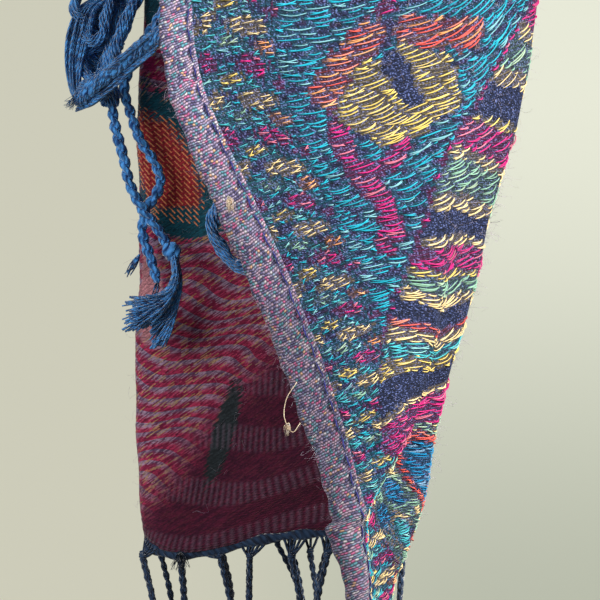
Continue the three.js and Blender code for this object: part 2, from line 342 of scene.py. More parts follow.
def off_path(across, z, offset):
    """As on_path, moved out of the right side of the cloth."""
    run = on_path(across + TURN_SPAN, z) - on_path(np.maximum(across - TURN_SPAN, 0), z)
    run /= np.linalg.norm(run, axis=-1, keepdims=True)
    out = np.stack([run[..., 1], -run[..., 0]], axis=-1)
    return on_path(across, z) + out * np.asarray(offset)[..., None]


def crease_at(across, along):
    """How far a place on the outer fall stands out of its right side."""
    total = np.zeros(np.broadcast(across, along).shape)
    for row in CREASES:
        c = dict(zip(CREASE_COLUMNS, row))
        lean = math.radians(c["lean"])
        dx, dy = across - c["across"], along - c["along"]
        up = (dx * math.sin(lean) + dy * math.cos(lean)) / c["reach"]
        side = (dx * math.cos(lean) - dy * math.sin(lean)) / c["spread"]
        total = total + c["depth"] * np.exp(-up * up - side * side)
    return total


OUTER_END = OUTER_DROP + TOP_EDGE
TOP_ARC = math.pi * TOP_GAP / 2
INNER_START = OUTER_END + TOP_ARC


def cloth_point(across, along):
    """The middle of the cloth's thickness at any place on it, in millimetres."""
    across, along = np.broadcast_arrays(np.asarray(across, float), np.asarray(along, float))
    droop = TIP_DROOP * (1 - soft_step(across / TIP_WIDTH, 0, 1))
    droop = droop * (1 - soft_step(along / TIP_HEIGHT, 0, 1))
    slack = np.exp(-(((across - SAG["across"]) / SAG["spread"]) ** 2))
    droop = droop + SAG["drop"] * slack * (1 - soft_step(along / SAG["reach"], 0, 1))
    outer, inner = along <= OUTER_END, along >= INNER_START
    turn = np.clip((along - OUTER_END) / TOP_ARC, 0, 1) * math.pi
    outer_z, inner_z = along - OUTER_DROP - droop, TOP_EDGE - (along - INNER_START)
    z = np.select([outer, inner], [outer_z, inner_z], TOP_EDGE)
    inner_gap = mix(TOP_GAP, LOW_GAP, soft_step(z / (TOP_EDGE - CLOTH_LENGTH + INNER_START), 0, 1))
    over_top = -TOP_GAP / 2 * (1 - np.cos(turn))
    offset = np.select([outer, inner], [crease_at(across, along), -inner_gap], over_top)
    xy = off_path(across, z, offset)
    z = z + np.where(outer | inner, 0, TOP_GAP / 2 * np.sin(turn))
    z = z - CROWN * (xy[..., 0] / CROWN_WIDTH) ** 2 * soft_step(1 + z / CROWN_REACH, 0, 1)
    return np.concatenate([xy, z[..., None]], axis=-1)


PROBE = 1.0


def unit(v):
    return v / np.maximum(np.linalg.norm(v, axis=-1, keepdims=True), 1e-9)


def cloth_frame(across, along):
    """Point, direction out of the right side, and the directions of the weft and the warp."""
    across, along = np.broadcast_arrays(np.asarray(across, float), np.asarray(along, float))
    low, high = np.maximum(across - PROBE, 0), np.minimum(across + PROBE, CLOTH_WIDTH)
    weft = unit(cloth_point(high, along) - cloth_point(low, along))
    warp = unit(cloth_point(across, along + PROBE) - cloth_point(across, along - PROBE))
    out = unit(np.cross(weft, warp))
    return cloth_point(across, along), out, weft, warp


# %% [markdown]
# ### Weft rows
#
# In a flat cloth the weft rows lie level. Where the corner droops the cloth is pulled on the bias, so
# its rows lean and crowd. The pattern follows the rows, so it is counted along the warp in flat cloth.
# This could be had from a cloth simulation too; a few soft ramps do it well enough.

# %% Weft rows
CROWD_HIGH = 155
CROWD_LOW = 50
CROWDING = 0.75
CORNER_LEAN = 13
LEFT_RISE = 8
RIGHT_RISE = 12
# Ramps: where each change begins, and where it is full.
LEAN_ALONG, LEAN_ACROSS = (50, 120), (28, 62)
LEFT_ACROSS, RIGHT_ACROSS, RIGHT_ALONG = (18, 58), (72, 108), (95, 145)
LEVEL_ACROSS, LEVEL_ALONG = (108, 140), (170, 400)
INVERSE_STEPS = 14
INVERSE_SHARE = 0.6


def flat_along(across, along):
    """The place along the warp, in flat cloth, of a place on the hanging cloth."""
    pulled = along + CORNER_LEAN * (1 - soft_step(along, *LEAN_ALONG)) * soft_step(across, *LEAN_ACROSS)
    x = np.clip((pulled - CROWD_LOW) / (CROWD_HIGH - CROWD_LOW), 0, 1)
    crowd = (CROWD_HIGH - CROWD_LOW) * (0.5 - (x - x**3 + x**4 / 2)) + np.maximum(CROWD_LOW - pulled, 0)
    rise = LEFT_RISE * soft_step(across, *LEFT_ACROSS)
    rise = rise - RIGHT_RISE * soft_step(across, *RIGHT_ACROSS) * soft_step(along, *RIGHT_ALONG)
    change = pulled - along - CROWDING * crowd + rise
    change = change * (1 - soft_step(across, *LEVEL_ACROSS))
    return along + change * (1 - soft_step(along, *LEVEL_ALONG))


def row_place(across, flat):
    """The inverse of flat_along: where a weft row runs at each place across."""
    along = np.array(flat, float)
    for _ in range(INVERSE_STEPS):
        along = along - (flat_along(across, along) - flat) * INVERSE_SHARE
    return along


# %% [markdown]
# Fine puckers keep the light from lying flat on the cloth. They are a sum of a few slow waves.

# %% Puckers
PUCKERS = [
    # waves across, waves along, height
    (0.21, 0.05, 0.22), (-0.13, 0.17, 0.2), (0.07, 0.31, 0.12), (0.4, -0.22, 0.1), (0.02, -0.11, 0.3),
]


def pucker(across, along):
    total = 0.0
    for i, (wave_s, wave_t, height) in enumerate(PUCKERS):
        total = total + height * np.sin(across * wave_s + along * wave_t + i * 1.7)
    return total


BUCKLE = {"along": 46, "width": 13, "step": 2.2, "fade": 9, "side": -3.2, "lip": 1.3}


def buckle(across, along):
    """The hem slips past itself a little above the corner: a step sideways, and a lip over the step."""
    near = 1 - soft_step(across, 2, BUCKLE["width"])
    below = BUCKLE["along"] - along
    step = soft_step(below, 0, BUCKLE["step"]) * np.exp(-np.maximum(below, 0) / BUCKLE["fade"])
    lip = np.exp(-(((below + 1.5) / 2.5) ** 2))
    waver = 0.3 * np.sin(along * 0.43) + 0.18 * np.sin(along * 1.13)
    return near * (step * BUCKLE["side"] + waver), near * lip * BUCKLE["lip"]


def lifted(across, along, lift):
    """A point above (or, with a lift below 0, under) the right side of the puckered cloth."""
    point, out, _, _ = cloth_frame(across, along)
    side, lip = buckle(across, along)
    point = point + out * (np.asarray(lift) + pucker(across, along) + lip)[..., None]
    return point + side[..., None] * (1, 0, 0)


# %% [markdown]
# ## Mesh helpers

# %% Mesh helpers


def new_object(name, vertices, faces, materials, corner_uv=None, material_of_face=None):
    """A mesh object from points in millimetres; corner_uv holds two lengths for each face corner."""
    mesh = bpy.data.meshes.new(name)
    mesh.from_pydata((np.asarray(vertices) * MM).tolist(), [], faces)
    for material in materials:
        mesh.materials.append(material)
    if corner_uv is not None:
        mesh.uv_layers.new(name="cloth").data.foreach_set("uv", (np.asarray(corner_uv) * MM).ravel())
    if material_of_face is not None:
        mesh.polygons.foreach_set("material_index", material_of_face)
    mesh.polygons.foreach_set("use_smooth", [True] * len(mesh.polygons))
    mesh.update()
    made = bpy.data.objects.new(name, mesh)
    bpy.context.collection.objects.link(made)
    return made


class Bundle:
    """Collects many small tubes into one mesh."""

    def __init__(self):
        self.vertices = []
        self.faces = []
        self.corner_uv = []
        self.count = 0

    def tube(self, points, radii, sides=5, place=None, flat=1.0, up=(0, 1, 0)):
        """A closed tube along the points. flat squeezes it along up. Its uv is one place on the
        cloth, or else the length along the tube and the share of a turn round it."""
        points = np.asarray(points, float)
        n = len(points)
        radii = np.broadcast_to(np.asarray(radii, float), n)
        run = unit(np.gradient(points, axis=0))
        side = unit(np.cross(run, np.broadcast_to(np.asarray(up, float), run.shape)) + 1e-6)
        rise = np.cross(side, run)
        angles = np.arange(sides) * 2 * math.pi / sides
        ring = side[:, None] * np.cos(angles)[None, :, None]
        ring = ring + rise[:, None] * (flat * np.sin(angles))[None, :, None]
        self.vertices.append((points[:, None] + ring * radii[:, None, None]).reshape(-1, 3))
        index = self.count + np.arange(n * sides).reshape(n, sides)
        a, b = index[:-1], index[1:]
        quads = np.stack([a, np.roll(a, -1, 1), np.roll(b, -1, 1), b], axis=-1).reshape(-1, 4)
        self.faces += quads.tolist()
        self.faces += [index[0][::-1].tolist(), index[-1].tolist()]
        if place is None:
            length = lengths_along(points)
            near, far = (ends[:, None] + np.zeros(sides) for ends in (length[:-1], length[1:]))
            turn = np.broadcast_to(np.arange(sides) / sides, near.shape)
            corners = [near, turn, near, turn + 1 / sides, far, turn + 1 / sides, far, turn]
            self.corner_uv.append(np.stack(corners, axis=-1).reshape(-1, 2))
            self.corner_uv.append(np.zeros((2 * sides, 2)))
        else:
            corners = 4 * len(quads) + 2 * sides
            self.corner_uv.append(np.broadcast_to(np.asarray(place, float), (corners, 2)))
        self.count += n * sides

    def build(self, name, material):
        corner_uv = np.concatenate(self.corner_uv)
        return new_object(name, np.concatenate(self.vertices), self.faces, [material], corner_uv)


# %% [markdown]
# ## The pattern
#
# The pattern is a list of simple motifs laid over each other: a border of small blossoms, a flower on a
# curled stem, and a large drop-shaped figure with a striped rim. It repeats along the cloth and is
# mirrored about its middle. It could be drawn by hand as an image; as formulas it stays sharp at any
# distance and repeats for the whole length.

# %% Pattern
HEM_WIDTH = 8
FLOAT_PITCH = 1.25
REPEAT = 228.8
REPEAT_TOP = 165
BORDER_REPEAT = 17.6
BORDER_EDGE = 31
YARNS = {
    "teal": (0.006, 0.4, 0.53),
    "aqua": (0.06, 0.5, 0.56),
    "turquoise": (0.0, 0.27, 0.56),
    "navy": (0.028, 0.045, 0.15),
    "purple": (0.13, 0.05, 0.2),
    "magenta": (0.62, 0.014, 0.2),
    "coral": (0.78, 0.1, 0.075),
    "orange": (0.88, 0.36, 0.13),
    "yellow": (0.86, 0.64, 0.16),
    "cream": (0.9, 0.68, 0.32),
    "sage": (0.27, 0.5, 0.36),
}
BLOSSOMS = [
    # across, place in the border repeat, half width, half height, slant, yarn
    (24.0, 15.5, 5.6, 2.3, 0.2, "cream"),
    (28.6, 9.8, 2.8, 1.7, 0.2, "orange"),
    (24.5, 6.1, 4.2, 2.4, 0.3, "magenta"),
    (18.0, 4.0, 3.3, 1.5, 0.1, "yellow"),
    (18.5, 12.6, 3.0, 1.4, 0.1, "sage"),
    (12.4, 0.6, 2.6, 2.3, -0.4, "cream"),
    (12.2, 9.0, 2.4, 2.6, 0.2, "magenta"),
    (31.0, 1.0, 1.8, 1.4, 0.0, "magenta"),
]
RIM_BANDS = [
    # where each band of the striped rim begins, and its yarn
    (20, "cream"), (34, "sage"), (43, "magenta"), (57, "cream"), (59, "navy"), (66, "yellow"),
    (70, "aqua"), (74, "cream"), (78, "coral"), (80.5, "navy"), (86.5, "cream"), (91, "sage"),
    (96, "yellow"), (98.5, "magenta"), (106, "cream"), (109, "navy"), (115.5, "cream"),
    (120.5, "sage"), (130.5, "cream"), (134, "magenta"), (143, "yellow"), (145, "navy"),
    (154, "cream"), (158, "sage"), (166, "cream"), (170, "magenta"),
]
RIM_END = 190
FIGURE_SIDE = 21.0
FIGURE_TOP = 27.0
FIGURE_SWELL, SWELL_POWER = 9.8, 0.55
MIDDLE_ACROSS, MIDDLE_TOP = 50.0, 26.0
RIM_SLANT = 0.3
RIM_SLANT_LOW = -0.2
SLANT_ALONG = (25.0, 80.0)
BAND_ACROSS, BAND_SHIFT = 60.0, 18.0
STEM = [(44, 130), (42.5, 122.5), (43.5, 114.5), (46.5, 105), (46, 97), (42, 92.5)]
BRANCH = [(47, 114), (54, 114.5), (59.5, 118)]
HEART = [(62, 141), (66, 129)]
LEFT_PETAL = [(43.5, 138), (56, 149)]
RIGHT_PETAL = [(68, 148), (84, 142.5)]
THROAT = [(61.5, 147), (62, 152)]
FLOWER_ACROSS, FLOWER_ALONG = 62.5, 131.0
SCALLOPS, SCALLOP_DEPTH = 7.0, 0.06
EYE_LEAN = 0.12
EYES = [
    # patches inside the figure: across, along, half width, half height, yarn, yarn of the outline
    (50, 0, 8.5, 17, "turquoise", "coral"),
    (34.5, -6, 3.0, 6, "turquoise", "sage"),
    (29.5, -16, 2.6, 7, "turquoise", "sage"),
    (34, -25, 3.6, 7, "aqua", "cream"),
    (29, -36, 1.8, 3.5, "yellow", "aqua"),
    (38, -32, 2.0, 7, "coral", "navy"),
    (70, -20, 9, 20, "turquoise", "coral"),
]


def ellipse(x, y, half_width, half_height):
    """Under 1 inside the ellipse."""
    return root(x * x / half_width**2 + y * y / half_height**2)


def stroke(x, y, a, b):
    """Distance from the line between a and b."""
    run = (b[0] - a[0], b[1] - a[1])
    share = ((x - a[0]) * run[0] + (y - a[1]) * run[1]) / (run[0] ** 2 + run[1] ** 2)
    share = least(most(share, 0.0), 1.0)
    dx, dy = x - a[0] - share * run[0], y - a[1] - share * run[1]
    return root(dx * dx + dy * dy)


def lay_pattern(across, along, paint):
    """Calls paint(mask, yarn) for each motif, first to last, at a place on the flat cloth."""
    s = CLOTH_WIDTH / 2 - size_of(across - CLOTH_WIDTH / 2)
    t = along - floor((along - REPEAT_TOP) / REPEAT + 1.0) * REPEAT
    ragged = sine(s * 2.1 + t * 0.9) * 0.5 + sine(t * 2.3 - s * 1.3) * 0.4

    paint(over(sine(s * 0.33 + 2.0 * sine(t * 0.31)) * sine(t * 1.17 + s * 0.12), 0.66), "navy")
    paint(over(sine(s * 0.41 + t * 0.23) * sine(t * 0.83 - s * 0.21), 0.8), "purple")

    # Large drop-shaped figure: a striped rim round a plain middle with eyes.
    edge = FIGURE_TOP + FIGURE_SWELL * power(most(s - FIGURE_SIDE, 0.0), SWELL_POWER) + ragged
    side = FIGURE_SIDE + most(FIGURE_TOP - t, 0.0) * 0.13 + ragged * 0.5
    figure = over(s, side) * under(t, edge)
    paint(over(s, side - 1.8) * under(t, edge + 1.8), "magenta")
    paint(figure, "cream")
    slant = RIM_SLANT_LOW + (RIM_SLANT - RIM_SLANT_LOW) * soft_step(t, *SLANT_ALONG)
    band = t + BAND_SHIFT + (s - BAND_ACROSS) * slant + ragged * 0.6
    for (low, yarn), (high, _) in zip(RIM_BANDS, [*RIM_BANDS[1:], (RIM_END, "")]):
        paint(figure * over(band, low) * under(band, high), yarn)
    middle = figure * under(t, MIDDLE_TOP - size_of(s - MIDDLE_ACROSS) * 0.5)
    paint(middle * over(s, 27.0), "sage")
    paint(middle * over(sine(s * 0.9) * sine(t * 0.5), 0.35), "cream")
    for place, height, half_width, half_height, yarn, outline in EYES:
        x, y = s - place + (t - height) * EYE_LEAN, t - height
        eye = ellipse(x, y, half_width, half_height) + ragged * 0.06
        paint(figure * under(eye, 1.28), outline)
        paint(figure * under(eye, 1.0), yarn)

    # Flower on a curled stem.
    for line, half, yarn in ((STEM, 3.3, "magenta"), (BRANCH, 2.3, "magenta"), (THROAT, 1.9, "purple")):
        for a, b in zip(line, line[1:]):
            paint(under(stroke(s, t, a, b) + ragged * 0.7, half), yarn)
    tips = over(part_of(t / (3.0 * FLOAT_PITCH)), 0.62)
    for line, half in ((LEFT_PETAL, 5.0), (RIGHT_PETAL, 4.4)):
        petal = under(stroke(s, t, *line) + ragged, half)
        paint(petal, "coral")
        paint(petal * tips, "orange")
    paint(under(ellipse(s - 62, t - 156, 3.2, 2.4), 1.0), "magenta")
    x, y = s - FLOWER_ACROSS, t - FLOWER_ALONG
    scallop = cosine(bearing(y, x) * SCALLOPS) * SCALLOP_DEPTH
    paint(under(ellipse(x, y, 17.5, 13) + scallop, 1.0), "yellow")
    paint(under(stroke(s, t, *HEART) + ragged * 0.5, 2.8), "navy")

    # Border of small blossoms.
    outside = 1.0 - figure
    inside = under(s, BORDER_EDGE - 2.0 + 2.0 * ragged) * outside
    wave = sine(s * 0.33 + t * 4 * math.pi / BORDER_REPEAT + 1.2 * sine(s * 0.25))
    paint(inside * over(wave, 0.25), "aqua")
    paint(inside * under(wave, -0.9), "purple")
    for place, start, half_width, half_height, slant, yarn in BLOSSOMS:
        x = s - place
        y = (part_of((t - start + x * slant) / BORDER_REPEAT + 0.5) - 0.5) * BORDER_REPEAT
        paint(under(ellipse(x, y, half_width, half_height) + ragged * 0.12, 1.0) * outside, yarn)


# %% [markdown]
# ## Materials
#
# Jacquard cloth shows short floats of coloured weft over a fine dark ground. The shader cuts the cloth
# into cells, one for each float, and looks the pattern up at the middle of its cell, which gives the
# stepped edges of real weaving. Bump makes each float stand out as a rounded yarn.

# %% Shader tools


class Shader:
    """A material with a Principled surface and short ways to add nodes."""

    def __init__(self, name, roughness=0.85, sheen=0.3):
        self.material = bpy.data.materials.new(name)
        self.material.use_nodes = True
        self.tree = self.material.node_tree
        self.surface = self.tree.nodes["Principled BSDF"]
        self.surface.inputs["Roughness"].default_value = roughness
        self.surface.inputs["Sheen Weight"].default_value = sheen
        self.surface.inputs["Sheen Roughness"].default_value = 0.4
        self.surface.inputs["Specular IOR Level"].default_value = 0.3

    def node(self, kind, settings=None, **inputs):
        made = self.tree.nodes.new(kind)
        for key, value in (settings or {}).items():
            setattr(made, key, value)
        for key, value in inputs.items():
            connect(self.tree, value, made.inputs[key.replace("_", " ")])
        return made

    def out(self, node, name=0):
        return Sock(self.tree, node.outputs[name])

    def parts(self, vector, *names):
        """Parts of a vector in metres, as millimetres."""
        split = self.node("ShaderNodeSeparateXYZ", Vector=vector)
        return [self.out(split, name) * (1.0 / MM) for name in names]

    def cloth_place(self):
        """across and along."""
        return self.parts(self.out(self.node("ShaderNodeUVMap", {"uv_map": "cloth"})), "X", "Y")

    def in_space(self):
        """x and z of the object's own space."""
        return self.parts(self.out(self.node("ShaderNodeTexCoord"), "Object"), "X", "Z")

    def blend(self, share, a, b):
        """Colour a where share is 0, b where it is 1."""
        made = self.tree.nodes.new("ShaderNodeMix")
        made.data_type = "RGBA"
        connect(self.tree, share, made.inputs[0])
        for place, colour in ((made.inputs[6], a), (made.inputs[7], b)):
            connect(self.tree, colour if isinstance(colour, Sock) else (*colour, 1), place)
        return Sock(self.tree, made.outputs[2])

    def bright(self, colour, amount):
        """The colour made lighter or darker by an amount around 1."""
        made = self.tree.nodes.new("ShaderNodeVectorMath")
        made.operation = "SCALE"
        connect(self.tree, colour, made.inputs[0])
        connect(self.tree, amount, made.inputs["Scale"])
        return Sock(self.tree, made.outputs[0])

    def noise(self, x, y, scale, detail=2.0):
        place = self.node("ShaderNodeCombineXYZ", X=x, Y=y)
        texture = self.node("ShaderNodeTexNoise", Vector=self.out(place), Scale=scale, Detail=detail)
        return self.out(texture, 0)

    def finish(self, colour, height, depth_mm):
        bump = self.node("ShaderNodeBump", Height=height, Distance=depth_mm * MM)
        bump.inputs["Strength"].default_value = 1.0
        connect(self.tree, colour, self.surface.inputs["Base Color"])
        connect(self.tree, self.out(bump), self.surface.inputs["Normal"])
        return self.material


def pattern_colour(shader, across, along):
    """The yarn colour of the pattern at a place."""
    colour = [YARNS["teal"]]

    def paint(mask, yarn):
        colour[0] = shader.blend(mask, colour[0], YARNS[yarn])

    lay_pattern(across, along, paint)
    return colour[0]


BORDER_FLOAT = 3.8
FIELD_FLOAT = 8.0
FLOAT_SAG = 0.3
SPECK = 0.3


def float_cell(across, along):
    """The float at a place: its row and column, the place inside it, and its middle across."""
    row = floor(along / FLOAT_PITCH)
    length = BORDER_FLOAT + (FIELD_FLOAT - BORDER_FLOAT) * over(across, BORDER_EDGE)
    shift = scatter(floor(row / 3.0)) + 0.16 * (row - 3.0 * floor(row / 3.0))
    column_place = across / length + shift
    column = floor(column_place)
    middle = (column + 0.5 - shift) * length
    return row, column, part_of(along / FLOAT_PITCH), part_of(column_place), middle


# %% Cloth materials


SEAM_PLACE = 7.4
SEAM_DRIFT = 3.2
SEAM_WIDEST = 98.0
SEAM_REACH = 42.0


def seam_place(along):
    """How far from the edge the stitch line runs: the hem is wider where the corner hangs."""
    x = (along - SEAM_WIDEST) / SEAM_REACH
    return SEAM_PLACE + SEAM_DRIFT * (1.0 / (1.0 + x * x * x * x))


TWILL_YARNS = [
    # share of dashes from which this yarn shows, yarn
    (0.0, (0.13, 0.11, 0.24)),
    (0.22, (0.36, 0.3, 0.48)),
    (0.46, (0.58, 0.4, 0.54)),
    (0.64, (0.28, 0.36, 0.5)),
    (0.75, (0.62, 0.15, 0.33)),
    (0.83, (0.12, 0.34, 0.42)),
    (0.91, (0.68, 0.62, 0.68)),
    (0.97, (0.78, 0.45, 0.3)),
]
TWILL_PITCH = 0.62
TWILL_SLANT = 0.26
DASH_LENGTH = 0.85
DASH_SHIFT = 0.38
FLECK = 0.3


def twill(shader, across, along):
    """The hem's fine slanted dashes in many colours, and their height."""
    across_edge = CLOTH_WIDTH / 2 - size_of(across - CLOTH_WIDTH / 2)
    wander = shader.noise(across, along, 0.3, 2.0) * 1.3
    slanted = (along - across_edge * TWILL_SLANT + wander) / TWILL_PITCH
    row = floor(slanted)
    along_row = across_edge / DASH_LENGTH + row * DASH_SHIFT + scatter(row) * 0.2
    chance = scatter(floor(along_row), row)
    colour = (0.1, 0.08, 0.17)
    for start, yarn in TWILL_YARNS:
        colour = shader.blend(over(chance, start), colour, yarn)
    x, y = part_of(along_row) - 0.5, part_of(slanted) - 0.5
    dash = 1.0 - soft_step(root(x * x * 1.5 + y * y * 4.6), 0.25, 0.95)
    fleck = scatter(floor(across / FLECK), floor(along / FLECK))
    # The hem's dashes are darker towards the lower end of the cloth.
    darker_low = 0.6 + 0.4 * soft_step(along, 70.0, 150.0)
    return shader.bright(colour, (0.26 + 0.5 * dash + 0.45 * fleck * dash) * darker_low), dash


# Floats are painted only where no real yarns are laid: above, to the right, and to the right low down.
BARE_ABOVE, BARE_RIGHT = (184.0, 190.0), (110.0, 116.0)
BARE_LOW_RIGHT, BARE_LOW = (76.0, 80.0), (56.0, 62.0)


def right_side():
    shader = Shader("cloth_right", roughness=0.85, sheen=0.0)
    across, along = shader.cloth_place()
    row, column, v, u, middle = float_cell(across, along)
    middle_t = (row + 0.5) * FLOAT_PITCH
    quarter = (floor(u * 5.0) - 2.0) * 1.3
    yarn = pattern_colour(shader, middle + quarter, middle_t)
    sag = 0.5 - FLOAT_SAG * (1.0 - 4.0 * (u - 0.5) * (u - 0.5)) * 0.6
    rise = 1.0 - size_of(v - sag) * 5.0
    ends = soft_step(u, 0.0, 0.1) * soft_step(1.0 - u, 0.0, 0.1)
    thread = soft_step(rise, 0.0, 0.8) * ends
    fine = floor((across + along * 0.5) / SPECK)
    speck = scatter(fine, floor(along / SPECK))
    ground = shader.blend(soft_step(speck, 0.2, 0.7), (0.003, 0.005, 0.016), (0.018, 0.028, 0.085))
    ground = shader.blend(over(speck, 0.86), ground, (0.1, 0.13, 0.3))
    ground = shader.blend(0.07, ground, yarn)
    ground = shader.bright(ground, 0.3 + 0.85 * speck)
    shade = 0.4 + 0.35 * scatter(column, row)
    low = 1.0 - soft_step(along, 10.0, 70.0)
    beside = soft_step(across, *BARE_LOW_RIGHT) * (1.0 - soft_step(along, *BARE_LOW))
    bare = most(beside, most(soft_step(along, *BARE_ABOVE), soft_step(across, *BARE_RIGHT)))
    share = most(0.22 + 0.25 * low, bare * 0.9)
    colour = shader.blend(thread * share, ground, shader.bright(yarn, shade + bare * 0.2))
    return shader.finish(colour, thread * 0.6 + speck * 0.4, 0.4)


PATCHES = [
    # on the wrong side: across, along, half length, half width, turn in degrees as it hangs, colour
    (246, 148, 18, 7, 78, (0.006, 0.055, 0.08)),
    (220, 106, 24, 14, 62, (0.006, 0.07, 0.1)),
    (220, 104, 17, 8.5, 62, (0.36, 0.022, 0.03)),
    (199, 88, 11, 4.6, 8, (0.006, 0.07, 0.1)),
    (251, 140, 11, 3.2, 82, (0.3, 0.008, 0.07)),
    (191, 67, 13, 4.0, 90, (0.5, 0.2, 0.22)),
    (138, 30, 14, 3.4, 108, (0.02, 0.026, 0.03)),
]
RED_PATCH = PATCHES[2]
WAVE_PITCH = 3.3
RIB_PITCH = 1.9
HANG_LEAN = 0.85
FRONT_SHADE_EDGE = (138.0, 156.0)
ROW_PITCH, ROW_DASH = 0.5, 1.7
LINE_PITCH, LINE_DASH = 1.1, 3.6
GRAIN = 0.38
WEFT_PITCH = 0.8


def turned(x, y, degrees):
    c, s = math.cos(math.radians(degrees)), math.sin(math.radians(degrees))
    return x * c + y * s, y * c - x * s


def wrong_side():
    shader = Shader("cloth_wrong", roughness=0.9, sheen=0.15)
    across, along = shader.cloth_place()
    wander = shader.noise(across, along, 0.05, 1.0) * 7.0
    band = part_of((along - across * 0.12 + wander + sine(across * 0.16) * 1.2) / WAVE_PITCH)
    slant_row = floor((across + along * 0.6) / ROW_PITCH)
    slant_dash = floor((along - across * 0.35) / ROW_DASH + slant_row * 0.37)
    dash = scatter(slant_row, slant_dash)
    # clear_of_front_shade is 0 near the front layer's edge, where that layer shades the wrong side, and
    # 1 farther out.
    clear_of_front_shade = soft_step(across + wander, *FRONT_SHADE_EDGE)
    red = shader.blend(soft_step(dash, 0.2, 0.8), (0.19, 0.01, 0.045), (0.5, 0.035, 0.1))
    slate = shader.blend(soft_step(dash, 0.2, 0.8), (0.08, 0.09, 0.17), (0.32, 0.32, 0.42))
    colour = shader.blend(clear_of_front_shade * 0.7 * soft_step(band + dash * 0.5, 0.6, 1.1), red, slate)
    colour = shader.blend(over(dash, 0.9) * (0.15 + 0.6 * clear_of_front_shade), colour, (0.46, 0.27, 0.1))
    # Painted shade: near the front layer's edge the wrong side is darkened to a near-black maroon, for
    # the shadow the front layer casts on it.
    colour = shader.blend((1.0 - clear_of_front_shade) * 0.84, colour, (0.024, 0.003, 0.016))
    upright = across - along * HANG_LEAN

    def within(patch):
        place, height, half_length, half_width, turn, _ = patch
        x, y = turned(upright - (place - height * HANG_LEAN), along - height, turn)
        return ellipse(x, y, half_length, half_width)

    for patch in PATCHES:
        mask = soft_step(within(patch) + dash * 0.35, 1.25, 1.05)
        colour = shader.blend(mask, colour, shader.bright(patch[-1], 0.6 + 0.8 * dash))
    line_row = (upright - along) * 0.7 / LINE_PITCH
    line_dash = (upright + along) * 0.7 / LINE_DASH + floor(line_row) * 0.37
    line = soft_step(size_of(part_of(line_row) - 0.5), 0.24, 0.1) * under(part_of(line_dash), 0.75)
    line = line * under(within(RED_PATCH) + scatter(floor(line_dash), floor(line_row)) * 0.3, 1.25)
    colour = shader.blend(line, colour, (0.9, 0.3, 0.12))
    rib = sine(upright / RIB_PITCH * 2 * math.pi) * 0.5 + 0.5
    ribbed = (1.0 - clear_of_front_shade) * soft_step(sine(along * 0.42 + across * 0.06), -0.1, 0.5)
    colour = shader.blend(ribbed * rib * 0.3, colour, (0.2, 0.13, 0.18))
    shade = 0.65 + 0.6 * scatter(floor(across / GRAIN), floor(along / GRAIN))
    fine = sine(along / WEFT_PITCH * 2 * math.pi) * 0.5 + 0.5
    height = fine * 0.5 + dash * 0.3 + ribbed * rib * 0.6 + line * 0.8
    return shader.finish(shader.bright(colour, shade), height, 0.3)


def hem_cloth():
    shader = Shader("hem_twill", roughness=0.85, sheen=0.3)
    across, along = shader.cloth_place()
    colour, dash = twill(shader, across, along)
    return shader.finish(colour, dash, 0.22)


def float_yarn():
    shader = Shader("float_yarn", roughness=0.5, sheen=0.1)
    across, along = shader.cloth_place()
    yarn = pattern_colour(shader, across, along)
    chance = scatter(floor(across * 3.0), floor(along * 3.0))
    yarn = shader.blend(over(chance, 0.75) * 0.22, yarn, (0.9, 0.75, 0.5))
    x, z = shader.in_space()
    grain = shader.noise(x, z, 3.0, 2.0)
    shade = 0.72 + 0.35 * part_of(chance * 7.0) + 0.2 * grain
    return shader.finish(shader.bright(yarn, shade), grain, 0.08)


FIBRE_TURNS = 3.0
FIBRE_SLANT = 0.5


def spun_yarn(name, dark, light, depth=0.3):
    """Yarn whose fibres wind round it: uv is the length along it and the share of a turn."""
    shader = Shader(name, roughness=0.75, sheen=0.5)
    length, turn = shader.cloth_place()
    wind = turn * FIBRE_TURNS + length * FIBRE_SLANT
    groove = sine(wind * 2 * math.pi) * 0.5 + 0.5
    hair = scatter(floor(wind * 3.0), floor(length / 1.6))
    x, z = shader.in_space()
    blotch = soft_step(shader.noise(x, z, 0.35, 2.0), 0.35, 0.65)
    tone = groove * 0.35 + hair * 0.35 + blotch * 0.3
    colour = shader.blend(soft_step(tone, 0.15, 0.85), dark, light)
    return shader.finish(colour, groove * 0.7 + hair * 0.3, depth)


RIGHT = right_side()
WRONG = wrong_side()
HEM = hem_cloth()
FLOAT_YARN = float_yarn()
STITCH_THREAD = spun_yarn("stitch_thread", (0.004, 0.004, 0.045), (0.022, 0.022, 0.19), 0.1)
# The outer cords are the same yarn as the inner ones. This much darker copy is painted shade, for where
# they hang in the shadow of the layers.
SHADED_CORD = spun_yarn("shaded_cord", (0.003, 0.008, 0.025), (0.018, 0.045, 0.1))
BLUE_CORD = spun_yarn("blue_cord", (0.005, 0.045, 0.18), (0.09, 0.38, 0.86))
PALE_FIBRE = spun_yarn("pale_fibre", (0.4, 0.26, 0.17), (0.75, 0.6, 0.4), 0.1)
FUZZ = spun_yarn("fuzz", (0.2, 0.14, 0.24), (0.55, 0.46, 0.55), 0.02)
print("materials", len(bpy.data.materials))

# %% [markdown]
# ## Cloth shells
#
# The cloth is a thin closed shell with a grid that is fine where the folds are looked at closely. A
# simulated cloth could fall more freely, but would lose the agreement with the solid model; laying the
# grid on the same winding paths keeps both together.

# %% Cloth shells
CLOTH_WALL = 0.9


